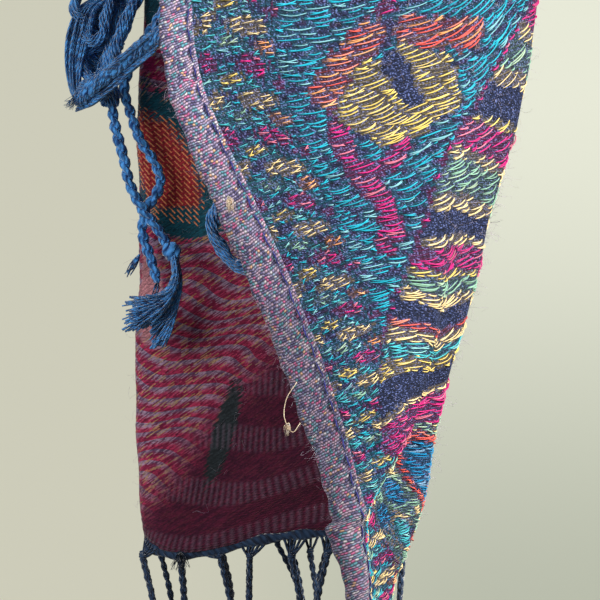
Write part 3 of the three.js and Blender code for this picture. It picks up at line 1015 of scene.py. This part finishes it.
def shell(name, s, t, wall, materials, right_rows):
    """A closed sheet over a grid of places. right_rows is what its right side counts along the warp."""
    wall = np.broadcast_to(np.asarray(wall, float), s.shape)
    n_rows, n_columns = s.shape
    points = np.concatenate([lifted(s, t, half).reshape(-1, 3) for half in (wall / 2, -wall / 2)])
    uv = np.concatenate([np.stack([s.ravel(), rows.ravel()], axis=-1) for rows in (right_rows, t)])
    index = np.arange(n_rows * n_columns).reshape(n_rows, n_columns)
    right = np.stack([index[:-1, :-1], index[:-1, 1:], index[1:, 1:], index[1:, :-1]], axis=-1)
    right = right.reshape(-1, 4)
    wrong = right[:, ::-1] + s.size
    loop = np.concatenate([index[0, :-1], index[:-1, -1], index[-1, :0:-1], index[:0:-1, 0]])
    rim = np.stack([loop, loop + s.size, np.roll(loop, -1) + s.size, np.roll(loop, -1)], axis=-1)
    faces = np.concatenate([right, wrong, rim])
    sides = np.repeat([0, 1, 0], [len(right), len(wrong), len(rim)]).astype(np.int32)
    return new_object(name, points, faces.tolist(), materials, uv[faces.ravel()], sides)


def spaced(start, end, step):
    """Evenly spaced places, about a step apart, both ends included."""
    return np.linspace(start, end, max(2, int(round((end - start) / step)) + 1))


CLOSE_UP = 190


def places_along(fine, coarse, fold):
    """Places along the warp: fine near the lower end, with a step of their own over the top."""
    outer = np.concatenate([spaced(0, CLOSE_UP, fine), spaced(CLOSE_UP, OUTER_END, coarse)[1:]])
    inner = spaced(INNER_START, CLOTH_LENGTH, coarse)
    return np.concatenate([outer, spaced(OUTER_END, INNER_START, fold)[1:], inner[1:]])


columns = spaced(HEM_WIDTH - 1, CLOTH_WIDTH - HEM_WIDTH + 1, 2.0)
panel_s, panel_t = np.meshgrid(columns, places_along(2.0, 12.0, 0.8))
panel_rows = flat_along(panel_s, panel_t)
cloth = shell("woven_cloth", panel_s, panel_t, CLOTH_WALL, [RIGHT, WRONG], panel_rows)
print("cloth grid", panel_s.shape)

# %% [markdown]
# ## Hems
#
# The long edges are turned twice and stitched. The hem is thicker than the cloth, round at its edge and
# pulled thin along the stitch line. A strip with its own profile across its width shows that better
# than a bump.

# %% Hems
HEM_SHARES = np.array([0, 0.02, 0.06, 0.15, 0.32, 0.52, 0.7, 0.84, 0.94, 1.0, 1.08, 1.16])
HEM_WALLS = np.array([0.4, 0.95, 1.35, 1.7, 1.9, 1.95, 1.8, 1.5, 1.15, 0.95, 1.2, 0.95])
hem_share, hem_t = np.meshgrid(HEM_SHARES, places_along(0.85, 12.0, 1.0))
front_s = hem_share * seam_place(hem_t)
front_hem = shell("front_hem_cloth", front_s, hem_t, HEM_WALLS, [HEM, HEM], hem_t)
rear_s = CLOTH_WIDTH - front_s[:, ::-1]
rear_hem = shell("rear_hem_cloth", rear_s, hem_t, HEM_WALLS[::-1], [HEM, HEM], hem_t)
print("hem columns", len(HEM_SHARES), "rows", len(hem_t))

# %% [markdown]
# ## Stitch lines
#
# A lockstitch is a row of short threads that dip into the cloth at their ends. Each stitch is a small
# tube on both sides of the hem.

# %% Stitch lines
STITCH = 3.5
STITCH_GAP = 0.75
STITCH_RADIUS = 0.3


def stitch_line(name, side):
    bundle = Bundle()
    share = np.linspace(0, 1, 5)
    starts = np.arange(2, CLOTH_LENGTH - STITCH, STITCH + STITCH_GAP)
    along = starts[:, None] + share * STITCH
    across = seam_place(along) + 0.2 * np.sin(along * 0.9)
    if side == "rear":
        across = CLOTH_WIDTH - across
    for face in (1, -1):
        rise = np.broadcast_to(face * (0.5 + 0.4 * np.sin(share * math.pi)), along.shape)
        for points in lifted(across, along, rise):
            bundle.tube(points, STITCH_RADIUS * (0.6 + 0.4 * np.sin(share * math.pi)), sides=4)
    return bundle.build(name, STITCH_THREAD)


front_stitch = stitch_line("front_stitching", "front")
rear_stitch = stitch_line("rear_stitching", "rear")
print("stitch faces", len(front_stitch.data.polygons) + len(rear_stitch.data.polygons))

# %% [markdown]
# ## Real floats
#
# Where the front layer is looked at closely, each float is a real yarn that leaves the ground, sags a
# little and goes back in. A float ends where the pattern changes colour, so the yarn is looked up along
# the row first. Some floats have a second yarn that crosses them.

# %% Floats
FLOAT_RADIUS = 0.185
SKIPPED = 0.14
RIGHT_TILT = 0.36
FLOAT_LIFT = 0.4
FLOAT_SINK = 0.12
FLOAT_POINTS = 6
LOOK_STEP = 0.4
SHORTEST = 1.9
CROSSING_SHARE = 0.4
FIRST_ROW, PARTING, LAST_ROW = -72, 60, 196
LOW_FIELD, HIGH_FIELD = 78, 116
NO_FLOAT = ("navy", "purple")
yarn_names = list(YARNS)


def yarn_at(across, along):
    """The number of the yarn that the pattern shows at each place."""
    number = [np.full(np.shape(across), yarn_names.index("teal"))]

    def paint(mask, yarn):
        number[0] = np.where(mask > 0.5, yarn_names.index(yarn), number[0])

    lay_pattern(across, along, paint)
    return number[0]


def float_runs(flat, first, last):
    """Start and end of each float in one row of the flat cloth."""
    places = np.arange(first, last, LOOK_STEP)
    rows = np.full(places.shape, flat)
    yarns = yarn_at(places, rows)
    cells = float_cell(places, rows)[1]
    change = (np.diff(yarns) != 0) | (np.diff(cells) != 0)
    cuts = np.concatenate([[0], np.nonzero(change)[0] + 1, [len(places)]])
    for a, b in zip(cuts, cuts[1:]):
        if (b - a) * LOOK_STEP > SHORTEST and yarn_names[yarns[a]] not in NO_FLOAT:
            yield places[a], places[b - 1] + LOOK_STEP


def lay_floats(name, low, high, last):
    """Floats for the rows from low to high of the flat cloth."""
    share = np.linspace(0, 1, FLOAT_POINTS)
    arch = np.sin(share * math.pi)
    across, flat, drop, rise, place, radii = [], [], [], [], [], []
    for row in range(int(low / FLOAT_PITCH), int(high / FLOAT_PITCH)):
        middle = (row + 0.5) * FLOAT_PITCH
        for start, end in float_runs(middle, HEM_WIDTH, last):
            is_ground = yarn_names[yarn_at(start + 1.0, middle)] == "teal"
            if rng.random() < SKIPPED and not is_ground:
                continue
            in_border = 1 - soft_step(start, BORDER_EDGE - 6, BORDER_EDGE + 2)
            fine = max(in_border, 1 - soft_step(middle, 0, 45))
            for copy in range(1 + (rng.random() < CROSSING_SHARE + 0.3 * fine)):
                a, b = start + rng.uniform(0, 0.5), end - rng.uniform(0, 0.5)
                sag = rng.uniform(0.15, 0.8) * (b - a) / FIELD_FLOAT * (1 - 0.5 * fine)
                tilt = rng.uniform(-0.3, 0.3) + copy * rng.choice((-0.9, 0.9))
                tilt += RIGHT_TILT * (b - a) * soft_step(a, 52, 92)
                across.append(a + (b - a) * share)
                flat.append(np.full(FLOAT_POINTS, middle))
                drop.append(tilt * (share - 0.5) - sag * arch + rng.uniform(-0.2, 0.2))
                lift = FLOAT_LIFT * rng.uniform(0.5, 1.3) * (1 + 0.5 * copy)
                rise.append(CLOTH_WALL / 2 - FLOAT_SINK + lift * arch**0.6)
                place.append(((start + end) / 2, middle))
                radius = FLOAT_RADIUS * (1 - 0.35 * fine) * rng.uniform(0.75, 1.2)
                radii.append(radius * (0.5 + 0.5 * arch**0.5))
    across = np.array(across)
    along = row_place(across, np.array(flat)) + np.array(drop)
    shown = (along.min(axis=1) > 1) & (along.max(axis=1) < CLOSE_UP)
    shown = shown & (across[:, 0] > seam_place(along[:, 0]) + 0.8)
    points = lifted(across, along, np.array(rise))
    bundle = Bundle()
    for i in np.nonzero(shown)[0]:
        bundle.tube(points[i], radii[i], sides=4, place=place[i])
    print(name, int(shown.sum()), "floats")
    return bundle.build(name, FLOAT_YARN)


upper_floats = lay_floats("upper_floats", PARTING, LAST_ROW, HIGH_FIELD)
lower_floats = lay_floats("lower_floats", FIRST_ROW, PARTING, LOW_FIELD)

# %% [markdown]
# ## Fringe
#
# The warp ends are gathered, knotted and twisted into two-ply cords. A twisted cord is two yarns that
# wind round each other, so each is a tube along a helix. A flat strip with a twisted bump would be
# lighter, but its outline would be straight.

# %% Cords
CORDS = 36
CORD_LENGTH = 78
TWIST_PITCH = 5.5
GATHER = 7
GATHER_KNOT = 0.62
HEADING = 1.35


def smooth_route(points, step):
    """Points about a step apart on a smooth curve through the given ones."""
    points = np.asarray(points, float)
    distance = lengths_along(points)
    slope = np.gradient(points, distance, axis=0)
    places = np.linspace(0, distance[-1], max(4, int(distance[-1] / step)))
    i = np.clip(np.searchsorted(distance, places, side="right") - 1, 0, len(points) - 2)
    span = (distance[i + 1] - distance[i])[:, None]
    u = (places - distance[i])[:, None] / span
    return smooth_curve(points[i], points[i + 1], span * slope[i], span * slope[i + 1], u)


def winding(route, step):
    """The middle line of a route, a way to wind round it, and the length along it."""
    middle = smooth_route(route, step)
    run = unit(np.gradient(middle, axis=0))
    side = unit(np.cross(run, (0.3, 1.0, 0.2)))
    rise = np.cross(side, run)

    def wind(angle, out):
        return middle + side * (out * np.cos(angle))[:, None] + rise * (out * np.sin(angle))[:, None]

    return wind, np.arange(len(middle)) * step


def twisted_cord(bundle, route, yarn, plies=2, step=0.9, pitch=TWIST_PITCH, turn=0.0):
    """Yarns wound round each other along a route."""
    wind, distance = winding(route, step)
    for ply in range(plies):
        angle = turn + distance / pitch * 2 * math.pi + ply * 2 * math.pi / plies
        wave = 1 + 0.1 * np.sin(distance * 1.3 + ply) + 0.06 * np.sin(distance * 0.37 + turn)
        bundle.tube(wind(angle, yarn * (0.85 + 0.15 * (plies - 2))), yarn * wave, sides=6)


def knot(bundle, centre, size=1.0, axis=(0, 0, 1)):
    """A tight knot: yarn wound round an axis, widest at its middle."""
    share = np.linspace(0, 1, 26)
    turn = share * 2 * math.pi * 2.6
    swell = 1.15 * size * (0.3 + 0.7 * np.sin(share * math.pi))
    axis = unit(np.asarray(axis, float))
    side = unit(np.cross(axis, (0.1, 1, 0.05)))
    rise = np.cross(axis, side)
    wind = side * (swell * np.cos(turn))[:, None] + rise * (swell * np.sin(turn))[:, None]
    wind = wind + axis * (2.4 * size * (share - 0.5))[:, None]
    bundle.tube(np.asarray(centre) + wind, 0.8 * size, sides=6)


def tuft(bundle, centre, drift, length=12.0, strands=16, spread=2.6, radius=0.24, bend=0.8):
    """Loose yarn ends below a knot."""
    share = np.linspace(0, 1, 6)[:, None]
    for _ in range(strands):
        angle = rng.uniform(0, 2 * math.pi)
        reach = rng.uniform(0.2, 1) * spread
        fall = -length * rng.uniform(0.7, 1.1)
        end = np.array([math.cos(angle) * reach, math.sin(angle) * reach, fall])
        curl = rng.uniform(-bend, bend, 3) * np.sin(share * math.pi)
        points = np.asarray(centre) + (end + np.asarray(drift)) * share + curl
        bundle.tube(points, radius * (1 - 0.5 * share[:, 0]), sides=3)


def gathered_root(bundle, across, along, meet, spread=7.0, strands=6):
    """Warp ends that leave the cloth's edge side by side and meet in a cord."""
    share = np.linspace(0, 1, 6)
    for k in range(strands):
        place = np.clip(across + spread * (k / (strands - 1) - 0.5), 0.2, CLOTH_WIDTH - 0.2)
        start = cloth_point(place, along)
        points = start + (np.asarray(meet) - start) * share[:, None]
        points[:, 2] -= 0.5 * np.sin(share * math.pi) * abs(place - across) / spread * 2
        bundle.tube(points, 0.48 - 0.08 * share, sides=5)


def heading(bundle, along):
    """A narrow band of packed warp ends under the cloth's edge."""
    places = np.arange(0.5, CLOTH_WIDTH, 1.5)
    points, out, _, _ = cloth_frame(places, np.full(places.shape, along))
    wave = HEADING * (1 + 0.25 * np.sin(places * 2 * math.pi * CORDS / CLOTH_WIDTH))
    bundle.tube(points, wave, sides=8, flat=0.5, up=out)


def hang_cord(bundle, route, yarn, turn, end_size):
    """A cord with its gathering knot, its end knot and its tuft."""
    knot(bundle, route[0] + (0, 0, 0.6), GATHER_KNOT)
    twisted_cord(bundle, route, yarn, turn=turn)
    knot(bundle, route[-1], end_size)
    tuft(bundle, route[-1], (0, 0, 0))


# %% [markdown]
# ### Outer fringe
#
# The cords of the rear layers hang right behind those of the middle layer when looked at from the
# front. Each line of the table is where such a group hangs: x just under the edge, x lower down, and x
# at its end.

# %% Outer fringe
OUTER_YARN = 0.55
OUTER_KNOT = 0.95
CORD_LINES = [
    (-54.8, -52.0, -50), (-49.6, -46.8, -47), (-44.1, -43.0, -44), (-32.7, -29.8, -31),
    (-24.1, -24.3, -25), (-16.3, -10.6, -8), (-12.3, -9.7, -6), (-6.8, -4.9, -4),
    (-2.0, -4.6, -2), (7, 7, 6), (14, 14, 13), (20, 19, 18),
]
LINE_HEIGHTS = (-928, -940, -1000)
CORNER = 80
CLING_Y = 18
REAR_START = 24

outer_bundle = Bundle()
heading(outer_bundle, -0.7)
for i in range(CORDS):
    across = (i + 0.5) * CLOTH_WIDTH / CORDS
    rim = cloth_point(across, -0.5)
    if across < CORNER:
        sway = rng.uniform(-2.4, 2.4, 3) * (1, 0.7, 0)
        meet = rim + (sway[0] * 0.3, sway[1] * 0.3, -GATHER)
        fall = (0, 0, GATHER - CORD_LENGTH)
        route = [meet + sway * k**1.5 + np.multiply(fall, k) for k in np.linspace(0, 1, 6)]
    else:
        line = min(CORD_LINES, key=lambda candidate: abs(candidate[0] - rim[0]))
        depth = rim[1] if rim[1] > REAR_START else CLING_Y
        eye_y = VIEW_PLANE_Y - CAMERA_DISTANCE
        behind = (depth - eye_y) / (CLING_Y - eye_y)
        places = [VIEW_CENTRE[0] + (x - VIEW_CENTRE[0]) * behind for x in line]
        route = [np.array((x, depth, z)) for x, z in zip(places, LINE_HEIGHTS)]
        route.insert(2, (route[1] + route[2]) / 2 + (0.8 * math.sin(line[0]), 0, 0))
    gathered_root(outer_bundle, across, 0.3, route[0], strands=3 if rim[1] > REAR_START else 5)
    hang_cord(outer_bundle, route, OUTER_YARN, i, OUTER_KNOT)
tuft(outer_bundle, (-44.1, 17, -926), (0, -1, 0), length=5, strands=40, spread=3.2, radius=0.13)
outer_fringe = outer_bundle.build("outer_cords", SHADED_CORD)

# %% [markdown]
# ### Inner fringe
#
# Most inner cords hang straight between the layers. Those at the left edge have caught on each other
# and hang in a tangle of loops, so their routes are given point by point, as a florist lays a
# ribbon.

# %% Inner fringe
INNER_YARN = 0.78
INNER_KNOT = 1.1
POCKET_MARGIN = 10
LAID_PLACES = (1, 24, 25, 26)


def inner_place(root_point, z, i):
    """Where an inner cord that starts at root_point hangs at height z."""
    f, f_root = folds_at(z), folds_at(root_point[2])
    fall = (root_point[2] - z) / CORD_LENGTH
    x, y = root_point[0], root_point[1] + (i % 2) * 3 * fall
    if y > f_root["middleY"] + LEFT_DEPTH:
        return np.array([x, y + f["rearY"] + f["ripple"] - f_root["rearY"] - f_root["ripple"], z])
    if x > 0:
        return np.array([x * (f["rightX"] - POCKET_MARGIN) / (f_root["rightX"] - POCKET_MARGIN), y, z])
    return np.array([x + (f["selvedgeX"] - f_root["selvedgeX"] + 6 * fall) * min(1, -x / 40), y, z])


inner_bundle = Bundle()
heading(inner_bundle, CLOTH_LENGTH + 0.7)
for i in range(CORDS):
    if i in LAID_PLACES:
        continue
    across = (i + 0.5) * CLOTH_WIDTH / CORDS
    rim = cloth_point(across, CLOTH_LENGTH + 0.5)
    heights = rim[2] - GATHER - (CORD_LENGTH - GATHER) * np.linspace(0, 1, 6)
    route = [inner_place(rim, z, i) for z in heights]
    gathered_root(inner_bundle, across, CLOTH_LENGTH - 0.3, route[0])
    hang_cord(inner_bundle, route, INNER_YARN, i, INNER_KNOT)
inner_fringe = inner_bundle.build("inner_cords", BLUE_CORD)

# %% [markdown]
# The cords whose routes are listed point by point: two that hang down the left edge, a tight braid that
# doubles back behind the front layer, two rings, and one loop that peeps out behind the front hem.

# %% Tangled cords
LONG_CORD = [
    (-52, 6, -760), (-55.8, 2, -769), (-58.4, -1, -775), (-61.2, 0, -782), (-62.6, 4, -787),
    (-62.9, 6, -799), (-61.8, 5, -806), (-59.5, 5, -814), (-57.8, 6, -821.5), (-54.4, 7, -828),
    (-50.7, 8, -833), (-47.6, 8, -838),
]
SHORT_CORD = [
    (-42, 6, -760), (-50, 4, -775), (-57, 6, -786), (-59.5, 6, -794), (-57.5, 7, -801.6),
    (-55, 8, -808.7), (-51, 9, -815), (-49.3, 9, -820), (-50.7, 9, -824.3), (-53.3, 9, -828),
    (-54.4, 9, -832), (-54.1, 10, -837), (-52.4, 10, -841.5), (-50.2, 10, -849),
]
BRAID = [
    (-72, 1, -798), (-68.6, -3, -795), (-63.5, -6, -791), (-57.8, -9, -786.6), (-52.2, -13, -782.7),
    (-46, -18, -779), (-38, -20, -775),
]
UPPER_RING = [
    (-57, 10, -760), (-62, 6, -766), (-64.6, 3, -774.8), (-65.5, 2, -779.3), (-68, 2, -781),
    (-71, 3, -778.7), (-71.6, 4, -774.5), (-68.6, 5, -771.5), (-65, 6, -770.3), (-60, 9, -771),
]
LOWER_RING = [
    (-59, 14, -760), (-61, 9, -770), (-62.5, 6, -777.6), (-63.6, 4, -784), (-65.2, 3, -790),
    (-68, 3, -791.6), (-70.8, 4, -789), (-70.8, 5, -784.5), (-68, 6, -782.4), (-64.2, 7, -781.2),
    (-60, 8, -780),
]
HIGH_LOOP = [
    (-60, 12, -760), (-66, 2, -763.5), (-71.5, 1, -767), (-73.2, 2, -772), (-70.5, 4, -775),
    (-67, 7, -772), (-63, 10, -768), (-59, 12, -764),
]
BACKING = [
    (-60, 17, -762), (-66, 13, -770), (-68.5, 11, -780), (-68, 11, -790), (-63, 9, -797),
]
INNER_LINE = [
    (-58, 16, -760), (-58.5, 11, -768), (-60, 8, -778), (-64.5, 7, -785), (-66, 6, -792),
    (-64, 4, -797),
]
HEM_LOOP = [
    (-33.4, -27, -760), (-33, -25, -800), (-31, -22, -826), (-33.6, -20, -831), (-33.9, -19, -835),
    (-31.4, -18, -839.5), (-28.5, -18, -843.5), (-24.5, -18, -845.4), (-19, -20, -846),
]
RIBBON = [
    (-62, 8, -764), (-68, 5, -768.6), (-72.4, 3, -771.6), (-75, 2, -777.6), (-75.8, 2, -784.7),
    (-75.3, 2, -791.2), (-73.8, 2, -796.3), (-71.5, 1, -799),
]
FAN = [
    (-50, -17, -780.5), (-57, -12, -785.5), (-63, -8, -790.5), (-68, -4, -794.5), (-73.5, 0, -796.5),
]
LOW_FAN = [
    (-50, -13, -785), (-57, -8, -790.5), (-63, -4, -795.5), (-68, -1, -799), (-73, 2, -800.5),
]


def ribbon(bundle, route, yarns, widths, way, radius):
    """Loose parallel yarns side by side; widths are the ribbon's at its start, middle and end."""
    middle = smooth_route(route, 1.0)
    share = np.linspace(0, 1, len(middle))
    width = np.interp(share, (0, 0.5, 1), widths)
    for k in range(yarns):
        shift = np.outer(width * (k / (yarns - 1)), way)
        shift[:, 1] += rng.uniform(-0.8, 0.8) + 0.35 * np.sin(share * 8 + k)
        shift[:, 2] += 0.25 * np.sin(share * 11 + k * 2)
        bundle.tube(middle + shift, rng.uniform(0.75, 1.25) * radius, sides=4)


def loose_cord(bundle, route, radius, yarns=18, pitch=16.0, yarn=0.34):
    """A round bundle of many thin yarns with a slow twist."""
    wind, distance = winding(route, 0.9)
    for k in range(yarns):
        angle = k * 2.4 + distance / pitch * 2 * math.pi
        out = radius * math.sqrt((k + 0.5) / yarns) * (1 + 0.12 * np.sin(distance * 0.8))
        bundle.tube(wind(angle, out), yarn * rng.uniform(0.8, 1.2), sides=4)


tangle_bundle = Bundle()
twisted_cord(tangle_bundle, LONG_CORD, 0.92, pitch=7)
twisted_cord(tangle_bundle, SHORT_CORD, 0.88, pitch=7, turn=1)
twisted_cord(tangle_bundle, BRAID, 1.05, plies=3, step=0.7, pitch=6.5)
for route, radius in ((UPPER_RING, 1.5), (LOWER_RING, 1.5), (HIGH_LOOP, 1.6)):
    loose_cord(tangle_bundle, route, radius)
for route, radius in ((INNER_LINE, 1.8), (LONG_CORD[:6], 1.7), (HEM_LOOP, 1.7)):
    loose_cord(tangle_bundle, route, radius)
for place, route in ((24, SHORT_CORD), (25, LONG_CORD), (26, LOWER_RING), (1, HEM_LOOP)):
    across = (place + 0.5) * CLOTH_WIDTH / CORDS
    gathered_root(tangle_bundle, across, CLOTH_LENGTH - 0.3, np.array(route[0]) - (0, 0, 4))
ribbon(tangle_bundle, RIBBON, 24, (3, 6.8, 1.5), (1, 0, 0), 0.27)
ribbon(tangle_bundle, FAN, 26, (2.0, 3.4, 5.0), (0.5, -0.3, 0.8), 0.24)
ribbon(tangle_bundle, LOW_FAN, 34, (3.0, 5.4, 5.0), (0.5, -0.3, 0.8), 0.26)
loose_cord(tangle_bundle, BRAID, 1.9, yarns=26)
loose_cord(tangle_bundle, BACKING, 3.6, yarns=46, yarn=0.42)
knot(tangle_bundle, (-46.0, 6, -840.2), 1.55, (1, 0, -0.55))
knot(tangle_bundle, (-62.5, 5, -787), 1.3, (0.4, 0, 1))
tuft(tangle_bundle, (-72, 0, -796), (-1.5, 0, 3), length=7, strands=60, spread=3.4, radius=0.13)


def swept_tuft(start, turn_at, end, strands, spread):
    """Yarn ends that fall from a knot, turn, and fan out."""
    for _ in range(strands):
        fan = rng.uniform(-1, 1, 3) * (0.7, 1.0, 1)
        reach = rng.uniform(0.75, 1.05)
        stop = np.array(turn_at) + (np.array(end) - turn_at) * reach + fan * spread
        route = [np.array(start) + fan * 0.9, np.array(turn_at) + fan * (1.8, 1, 1), stop]
        route.insert(1, (route[0] + route[1]) / 2 + (1.2, -0.5, -0.6))
        route.insert(3, (route[2] + route[3]) / 2 + (0, -0.6, -1.0))
        tangle_bundle.tube(smooth_route(route, 1.2), rng.uniform(0.2, 0.38), sides=4)


swept_tuft((-45.5, 5, -842), (-46.5, 1, -852), (-56.5, 2, -858.5), 170, 4.6)
swept_tuft((-45.0, 6, -842), (-45.5, 4, -856), (-50.0, 4, -864.0), 100, 3.8)
tuft(tangle_bundle, (-50.2, 10, -849), (-1, 0, 0), length=4, strands=10, spread=1.2, radius=0.18)
tuft(tangle_bundle, (-55.5, 12, -841), (-3, 0, 0), length=6, strands=14, spread=1.6, radius=0.3)
tangle = tangle_bundle.build("tangled_cords", BLUE_CORD)

# %% [markdown]
# ## Loose fibres
#
# Wool sheds fine fibres along its edges and folds. They are what makes an edge look soft. Hair
# particles would do, but single thin tubes stay part of the piece and can be counted.

# %% Loose fibres
FIBRE_POINTS = 5
FIBRES = [
    # across, along, lean (out, weft, warp), count, longest, thinnest, thickest
    ((0, 2.5), (15, 190), (0.5, -1.0, 0.0), 450, 3.6, 0.02, 0.04),
    ((60, 112), (5, 190), (1.0, 0.0, 0.0), 1500, 5.0, 0.025, 0.05),
    ((2, 70), (10, 190), (0.6, 0.0, -0.3), 900, 3.0, 0.02, 0.04),
    ((128, 262), (5, 190), (-0.8, 0.0, -0.1), 900, 5.0, 0.02, 0.04),
]
fuzz_bundle = Bundle()
for across_ends, along_ends, lean, count, longest, thin, thick in FIBRES:
    across = rng.uniform(*across_ends, count)
    along = rng.uniform(*along_ends, count)
    point, out, weft, warp = cloth_frame(across, along)
    start = point + out * 0.5 * np.sign(lean[0])
    share = np.linspace(0, 1, FIBRE_POINTS)
    for i in range(count):
        way = rng.normal(0, 0.6, 3) + lean
        way = out[i] * way[0] + weft[i] * way[1] + warp[i] * way[2]
        length = longest * rng.uniform(0.15, 1) ** 2
        curl = rng.normal(0, 0.3 * length, 3) * np.sin(share * math.pi)[:, None]
        curl = curl + rng.normal(0, 0.16 * length, 3) * np.sin(share * 2 * math.pi)[:, None]
        points = start[i] + way / np.linalg.norm(way) * length * share[:, None] + curl
        fuzz_bundle.tube(points, rng.uniform(thin, thick) * (1 - 0.6 * share), sides=3)
fuzz = fuzz_bundle.build("wool_fuzz", FUZZ)

# %% [markdown]
# A pulled yarn loop with a small tuft hangs on the front hem, with a few pale ends above it.

# %% Pulled yarn
pale_bundle = Bundle()
LOOP = [
    (-10.5, -41.6, -876), (-13.5, -43, -881), (-13.8, -43.4, -886), (-11.6, -43.2, -889.5),
    (-9.6, -42.2, -887),
]
pale_bundle.tube(smooth_route(LOOP, 0.8), 0.12, sides=4)
tuft(pale_bundle, (-12.6, -42.6, -887), (-0.6, -0.5, 0), length=3.4, strands=16, spread=1.0, radius=0.1)
tuft(pale_bundle, (-29.0, -40.5, -826), (0.5, -1.2, 0), length=4.5, strands=30, spread=1.8, radius=0.1)
pulled_yarn = pale_bundle.build("pulled_yarn", PALE_FIBRE)
print("fibres", len(fuzz.data.polygons), "faces")

# %% [markdown]
# ## Room
#
# A matt floor, a far backdrop that glows softly, a window at the front right, and two dim lights that
# keep the back and the left side from going black.

# %% Room
PAINT = (0.375, 0.38, 0.325)
# Glow of the backdrop, which is painted light: at the left, low at the right, high at the right.
BACKDROP_GLOW = ((0.52, 0.51, 0.41), (0.39, 0.41, 0.33), (0.72, 0.73, 0.61))
GLOW_HEIGHTS, GLOW_SIDES = (-1700.0, -300.0), (-400.0, 450.0)


def plain_surface(name, glow=None):
    """Matt paint. A backdrop also glows softly with painted light, bright high at the right and dimmer
    low down, standing in for a room's light on a wall.
    """
    shader = Shader(name, roughness=0.95, sheen=0.0)
    x, z = shader.in_space()
    tone = shader.noise(x, z, 0.0015, 2.0)
    if glow is not None:
        left, low_right, high_right = glow
        high, right = soft_step(z, *GLOW_HEIGHTS), soft_step(x, *GLOW_SIDES)
        shown = shader.blend(right, left, shader.blend(high, low_right, high_right))
        connect(shader.tree, shown, shader.surface.inputs["Emission Color"])
        shader.surface.inputs["Emission Strength"].default_value = 1.0
    return shader.finish(shader.bright(PAINT, 0.97 + 0.06 * tone), tone, 0.0)


def room_plane(name, corners, glow=None):
    return new_object(name, corners, [(0, 1, 2, 3)], [plain_surface(name + "_paint", glow)])


FLOOR_Z, WALL_TOP, WALL_Y, REACH = -2400, 2500, 7000, 8000
sides = ((-REACH, -REACH), (REACH, -REACH), (REACH, WALL_Y), (-REACH, WALL_Y))
room_floor = room_plane("room_floor", [(x, y, FLOOR_Z) for x, y in sides])
sides = ((-REACH, FLOOR_Z), (REACH, FLOOR_Z), (REACH, WALL_TOP), (-REACH, WALL_TOP))
room_wall = room_plane("room_wall", [(x, WALL_Y, z) for x, z in sides], BACKDROP_GLOW)

scene = bpy.context.scene
scene.view_settings.view_transform = "Standard"
scene.view_settings.look = "None"
scene.world = bpy.data.worlds.new("world")
scene.world.use_nodes = True
background = scene.world.node_tree.nodes["Background"]
background.inputs["Color"].default_value = (0.9, 0.93, 1.0, 1)
background.inputs["Strength"].default_value = 0.2


def soft_light(name, place, target, width, watts, colour):
    data = bpy.data.lights.new(name, "AREA")
    data.shape = "SQUARE"
    data.size = width * MM
    data.energy = watts
    data.color = colour
    made = bpy.data.objects.new(name, data)
    bpy.context.collection.objects.link(made)
    made.location = Vector(place) * MM
    aim = Vector(target) - Vector(place)
    made.rotation_euler = aim.to_track_quat("-Z", "Y").to_euler()
    return made


TARGET = (VIEW_CENTRE[0], VIEW_PLANE_Y, VIEW_CENTRE[1])
soft_light("window", (1000, -900, -250), TARGET, 500, 50, (1.0, 0.98, 0.94))
soft_light("rear_fill", (-500, 2200, 100), TARGET, 1500, 40, (0.96, 0.98, 1.0))
soft_light("fill", (-900, -1100, -500), TARGET, 900, 15, (0.94, 0.97, 1.0))
print("lights", len(bpy.data.lights))

# %% [markdown]
# ## What each piece stands for

# %% Declarations
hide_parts("outer_fall", "top_fold", "inner_fall")
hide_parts("front_hem")
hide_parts("rear_hem")
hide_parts("outer_fringe")
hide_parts("inner_fringe")
pieces_of_slot = {
    "cloth": (cloth, upper_floats, lower_floats, fuzz, pulled_yarn),
    "hem": (front_hem, rear_hem, front_stitch, rear_stitch),
    "outer_fringe": (outer_fringe,),
    "inner_fringe": (inner_fringe, tangle),
}
for slot, pieces in pieces_of_slot.items():
    for piece in pieces:
        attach(piece, "root")

every_piece = [piece for pieces in pieces_of_slot.values() for piece in pieces]
trims = [piece for piece in every_piece if piece != cloth]

for piece in every_piece:
    piece.data.calc_loop_triangles()
    print(piece.name, len(piece.data.loop_triangles), "triangles")
